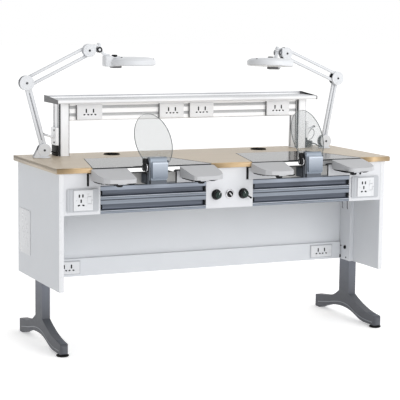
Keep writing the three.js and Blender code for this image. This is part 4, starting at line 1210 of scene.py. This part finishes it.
def make_wrist(name, place, reach):
    node = f"lamp_head_joint_{name}"
    made = Piece(f"lamp_wrist_{name}")
    joint_discs(made, place, 29, liner=False)
    for angle in (62, -48):
        made.box("black", place @ spin(angle) @ shift(27.2, 0, 0) @ spin(90), (9, 4, 20), 1.0)
    ahead = reach.dot(place.to_3x3().col[0]) / MM
    made.box("lamp", place @ shift((ahead + 22) / 2, 23, 0) @ spin(90, "X"), (ahead - 22, 16, 6), 1.4)
    made.box("lamp", place @ shift(23.5, 23, 0) @ spin(90, "X"), (13, 28, 6), 1.4)
    for z in (-14.4, 14.4):
        made.box("lamp", place, (13, 26, 4.4), 1.2, (22, 12, z))
    boss = [(4.7, 19.8), (9.6, 19.8), (9.6, 25.4), (8.8, 26.2), (4.7, 26.2), (4.7, 19.8)]
    made.add(turned(boss, 48), "lamp", place @ shift(ahead, 0, 0) @ spin(-90, "X"))
    made.done_for(node)


def make_head(name, swivel):
    tilt = axis_of(f"lamp_head_tilt_{name}")
    ahead = UP.cross(-tilt).normalized()
    place = axes(ahead, tilt * -1, UP, swivel)
    if place.determinant() < 0:
        place = axes(ahead, tilt, UP, swivel)
    make_yoke(name, place)
    place = place @ spin(-HEAD_LIFT[name], "Y")

    node = f"lamp_head_{name}"
    made = Piece(f"lamp_shade_{name}")
    reach, drop, radius = 153, 50, 106
    dish = place @ shift(reach, 0, -drop)
    shell = [(0, 18.4), (38, 18.2), (40, 17.2), (60, 17.4), (84, 15.6), (98, 10.6), (radius - 1.4, 4.5),
             (radius, 0), (radius, -13), (radius - 1.6, -17), (radius - 5, -19), (radius - 12, -19),
             (radius - 13, -16.5), (0, -16.5)]
    made.add(turned(shell, 128, 0.0015), "lamp", dish)
    lens = [(0, -20.2), (52, -20), (84, -18.8), (92.4, -16.8), (92.4, -16)]
    made.add(turned(lens, 128, 0.001), "diffuser", dish)
    for angle, spot_radius, height in ((-27, 97, 9.5), (-148, 70, 16.6), (152, 70, 16.6)):
        across, along_y = math.cos(math.radians(angle)), math.sin(math.radians(angle))
        made.add(bolt(4.2, 2.6), "black", dish @ shift(spot_radius * across, spot_radius * along_y, height))
    knob = [(0, 17), (10.5, 17), (10.5, 19), (13, 21), (13, 27), (11, 29.6), (0, 30.2)]
    made.add(lobed(knob, 14, 0.08, 112, 0.0008), "black", dish @ shift(-86, -17, -1))
    base = [(0, 14), (16, 14), (16, 17.4), (14, 18.4), (0, 18.4)]
    made.add(turned(base, 56, 0.0006), "lamp", dish @ shift(-86, -17, 0))

    ballast = plate([rounded_box(74, 54, 9, steps=8)], 47, 4, 5)
    made.add(ballast, "lamp", dish @ shift(-95, 0, -24))
    made.box("endcap", dish @ shift(-76, 0, -25.2), (42, 52, 9), 1.6)
    for k in range(8):
        made.box("surround", dish, (38, 1.8, 3), 0.5, (-76, k * 5.8 - 20.3, -29.4))
    neck = [(-6, -8), (5, -8.5), (20, -26), (46, -30), (50, -20), (27, -15), (10, 4), (4, 8), (-5, 7.5)]
    side_on = Matrix(((1, 0, 0, 0), (0, 0, -1, 0), (0, 1, 0, 0), (0, 0, 0, 1)))
    bracket = plate([neck, circle(0, 0, 4.7, 24)], 12.4, 1.6)
    made.add(bracket, "lamp", place @ shift(y=6.2) @ side_on)
    made.done_for(node)


def make_yoke(name, place):
    node = f"lamp_yoke_{name}"
    made = Piece(f"lamp_fork_{name}")
    made.add(turned([(0, 10), (3.9, 10), (3.9, 24), (0, 24)], 32), "chrome", place)
    wing = [(0, 23.3), (8, 23.3), (8, 25.5), (6.5, 28.6), (3, 29.2), (0, 29.2)]
    made.add(turned(wing, 48, 0.0006), "lamp", place)
    made.box("lamp", place, (18, 24, 5), 1.4, (0, 0, 12.5))
    for out in (-1, 1):
        made.box("lamp", place, (18, 4.8, 21), 1.4, (0, out * 9.6, 0.8))
        disc = place @ spin(-90 * out, "X")
        washer = [(5, 11.8), (12.6, 11.8), (13, 12.6), (13, 14), (12, 14.8), (5, 14.8), (5, 11.8)]
        made.add(turned(washer, 56, 0.0004), "black", disc)
        cap = [(0, 11.5), (6, 11.5), (6, 14.8), (4.6, 15.8), (0, 16)]
        made.add(turned(cap, 40, 0.0004), "lamp", disc)
    made.add(turned([(0, -12), (3.9, -12), (3.9, 12), (0, 12)], 28), "chrome",
             place @ spin(90, "X"))
    made.done_for(node)


# ---------------------------------------------------------------- assembly
make_worktop()
make_frame()
make_controls()
make_rail_modules()
make_channel_sockets()
make_posts()
make_clamps()
make_shelf()
make_cables()
for side_name, side_sign in SIDES:
    make_wall_socket(side_name)
    make_carrier(side_name, side_sign)
    make_drawer(side_name, side_sign)
    make_hood(side_name, side_sign)
    make_shield(side_name)
    for hand_name, hand_sign in SIDES:
        make_rest(side_name, hand_name, hand_sign)
    make_lamp(side_name)


# ---------------------------------------------------------------- floor, light and camera
def make_floor():
    mesh = bpy.data.meshes.new("floor")
    mesh.from_pydata([(-30, -20, 0), (30, -20, 0), (30, 40, 0), (-30, 40, 0)], [], [(0, 1, 2, 3)])
    paint = Paint("pale_floor", 0.9, Specular_IOR_Level=0.1, **glow(0.34))
    drift = paint.noise((1, 1, 1), 0.6)
    paint.colour(paint.ramp(drift, (0.3, (0.93, 0.93, 0.93)), (0.7, (0.95, 0.95, 0.95))))
    mesh.materials.append(paint.material)
    floor = linked("floor", mesh)
    floor.location.z = -0.0005


def area_light(name, place, target, size, power, colour=(1, 1, 1)):
    data = bpy.data.lights.new(name, "AREA")
    data.shape = "RECTANGLE"
    data.size, data.size_y = size
    data.energy = power
    data.color = colour
    lamp = linked(name, data)
    lamp.location = place
    lamp.rotation_euler = (Vector(target) - Vector(place)).to_track_quat("-Z", "Y").to_euler()


def make_light():
    world = bpy.data.worlds.new("studio")
    world.use_nodes = True
    tree = world.node_tree
    direction = tree.nodes.new("ShaderNodeTexCoord").outputs["Generated"]
    split = tree.nodes.new("ShaderNodeSeparateXYZ")
    fade = tree.nodes.new("ShaderNodeMapRange")
    tree.links.new(direction, split.inputs["Vector"])
    tree.links.new(split.outputs["X"], fade.inputs["Value"])
    for socket, value in (("From Min", -0.8), ("From Max", 0.0), ("To Min", 0.4), ("To Max", 1.0)):
        fade.inputs[socket].default_value = value
    tree.links.new(fade.outputs["Result"], tree.nodes["Background"].inputs["Strength"])
    tree.nodes["Background"].inputs["Color"].default_value = (1, 1, 1, 1)
    bpy.context.scene.world = world
    area_light("key", (1.6, -4.5, 2.4), (0, 0, 0.7), (3.5, 2.5), 85)


def make_camera():
    """A long lens to the left of the bench, a little above the lamps."""
    data = bpy.data.cameras.new("camera")
    data.lens = 133.58
    data.sensor_width = 36
    data.clip_end = 100
    yaw, pitch, roll = (math.radians(a) for a in (24.67, 7.63, 0.65))
    forward = Vector((math.sin(yaw) * math.cos(pitch), math.cos(yaw) * math.cos(pitch), -math.sin(pitch)))
    level = Vector((math.cos(yaw), -math.sin(yaw), 0))
    rise = level.cross(forward)
    right = level * math.cos(roll) + rise * math.sin(roll)
    up = rise * math.cos(roll) - level * math.sin(roll)
    camera = linked("camera", data)
    camera.matrix_world = axes(right, up, -forward, at(-2796.19, -5759.90, 1489.14))
    bpy.context.scene.camera = camera


make_floor()
make_light()
make_camera()
bpy.context.scene.view_settings.view_transform = "Standard"
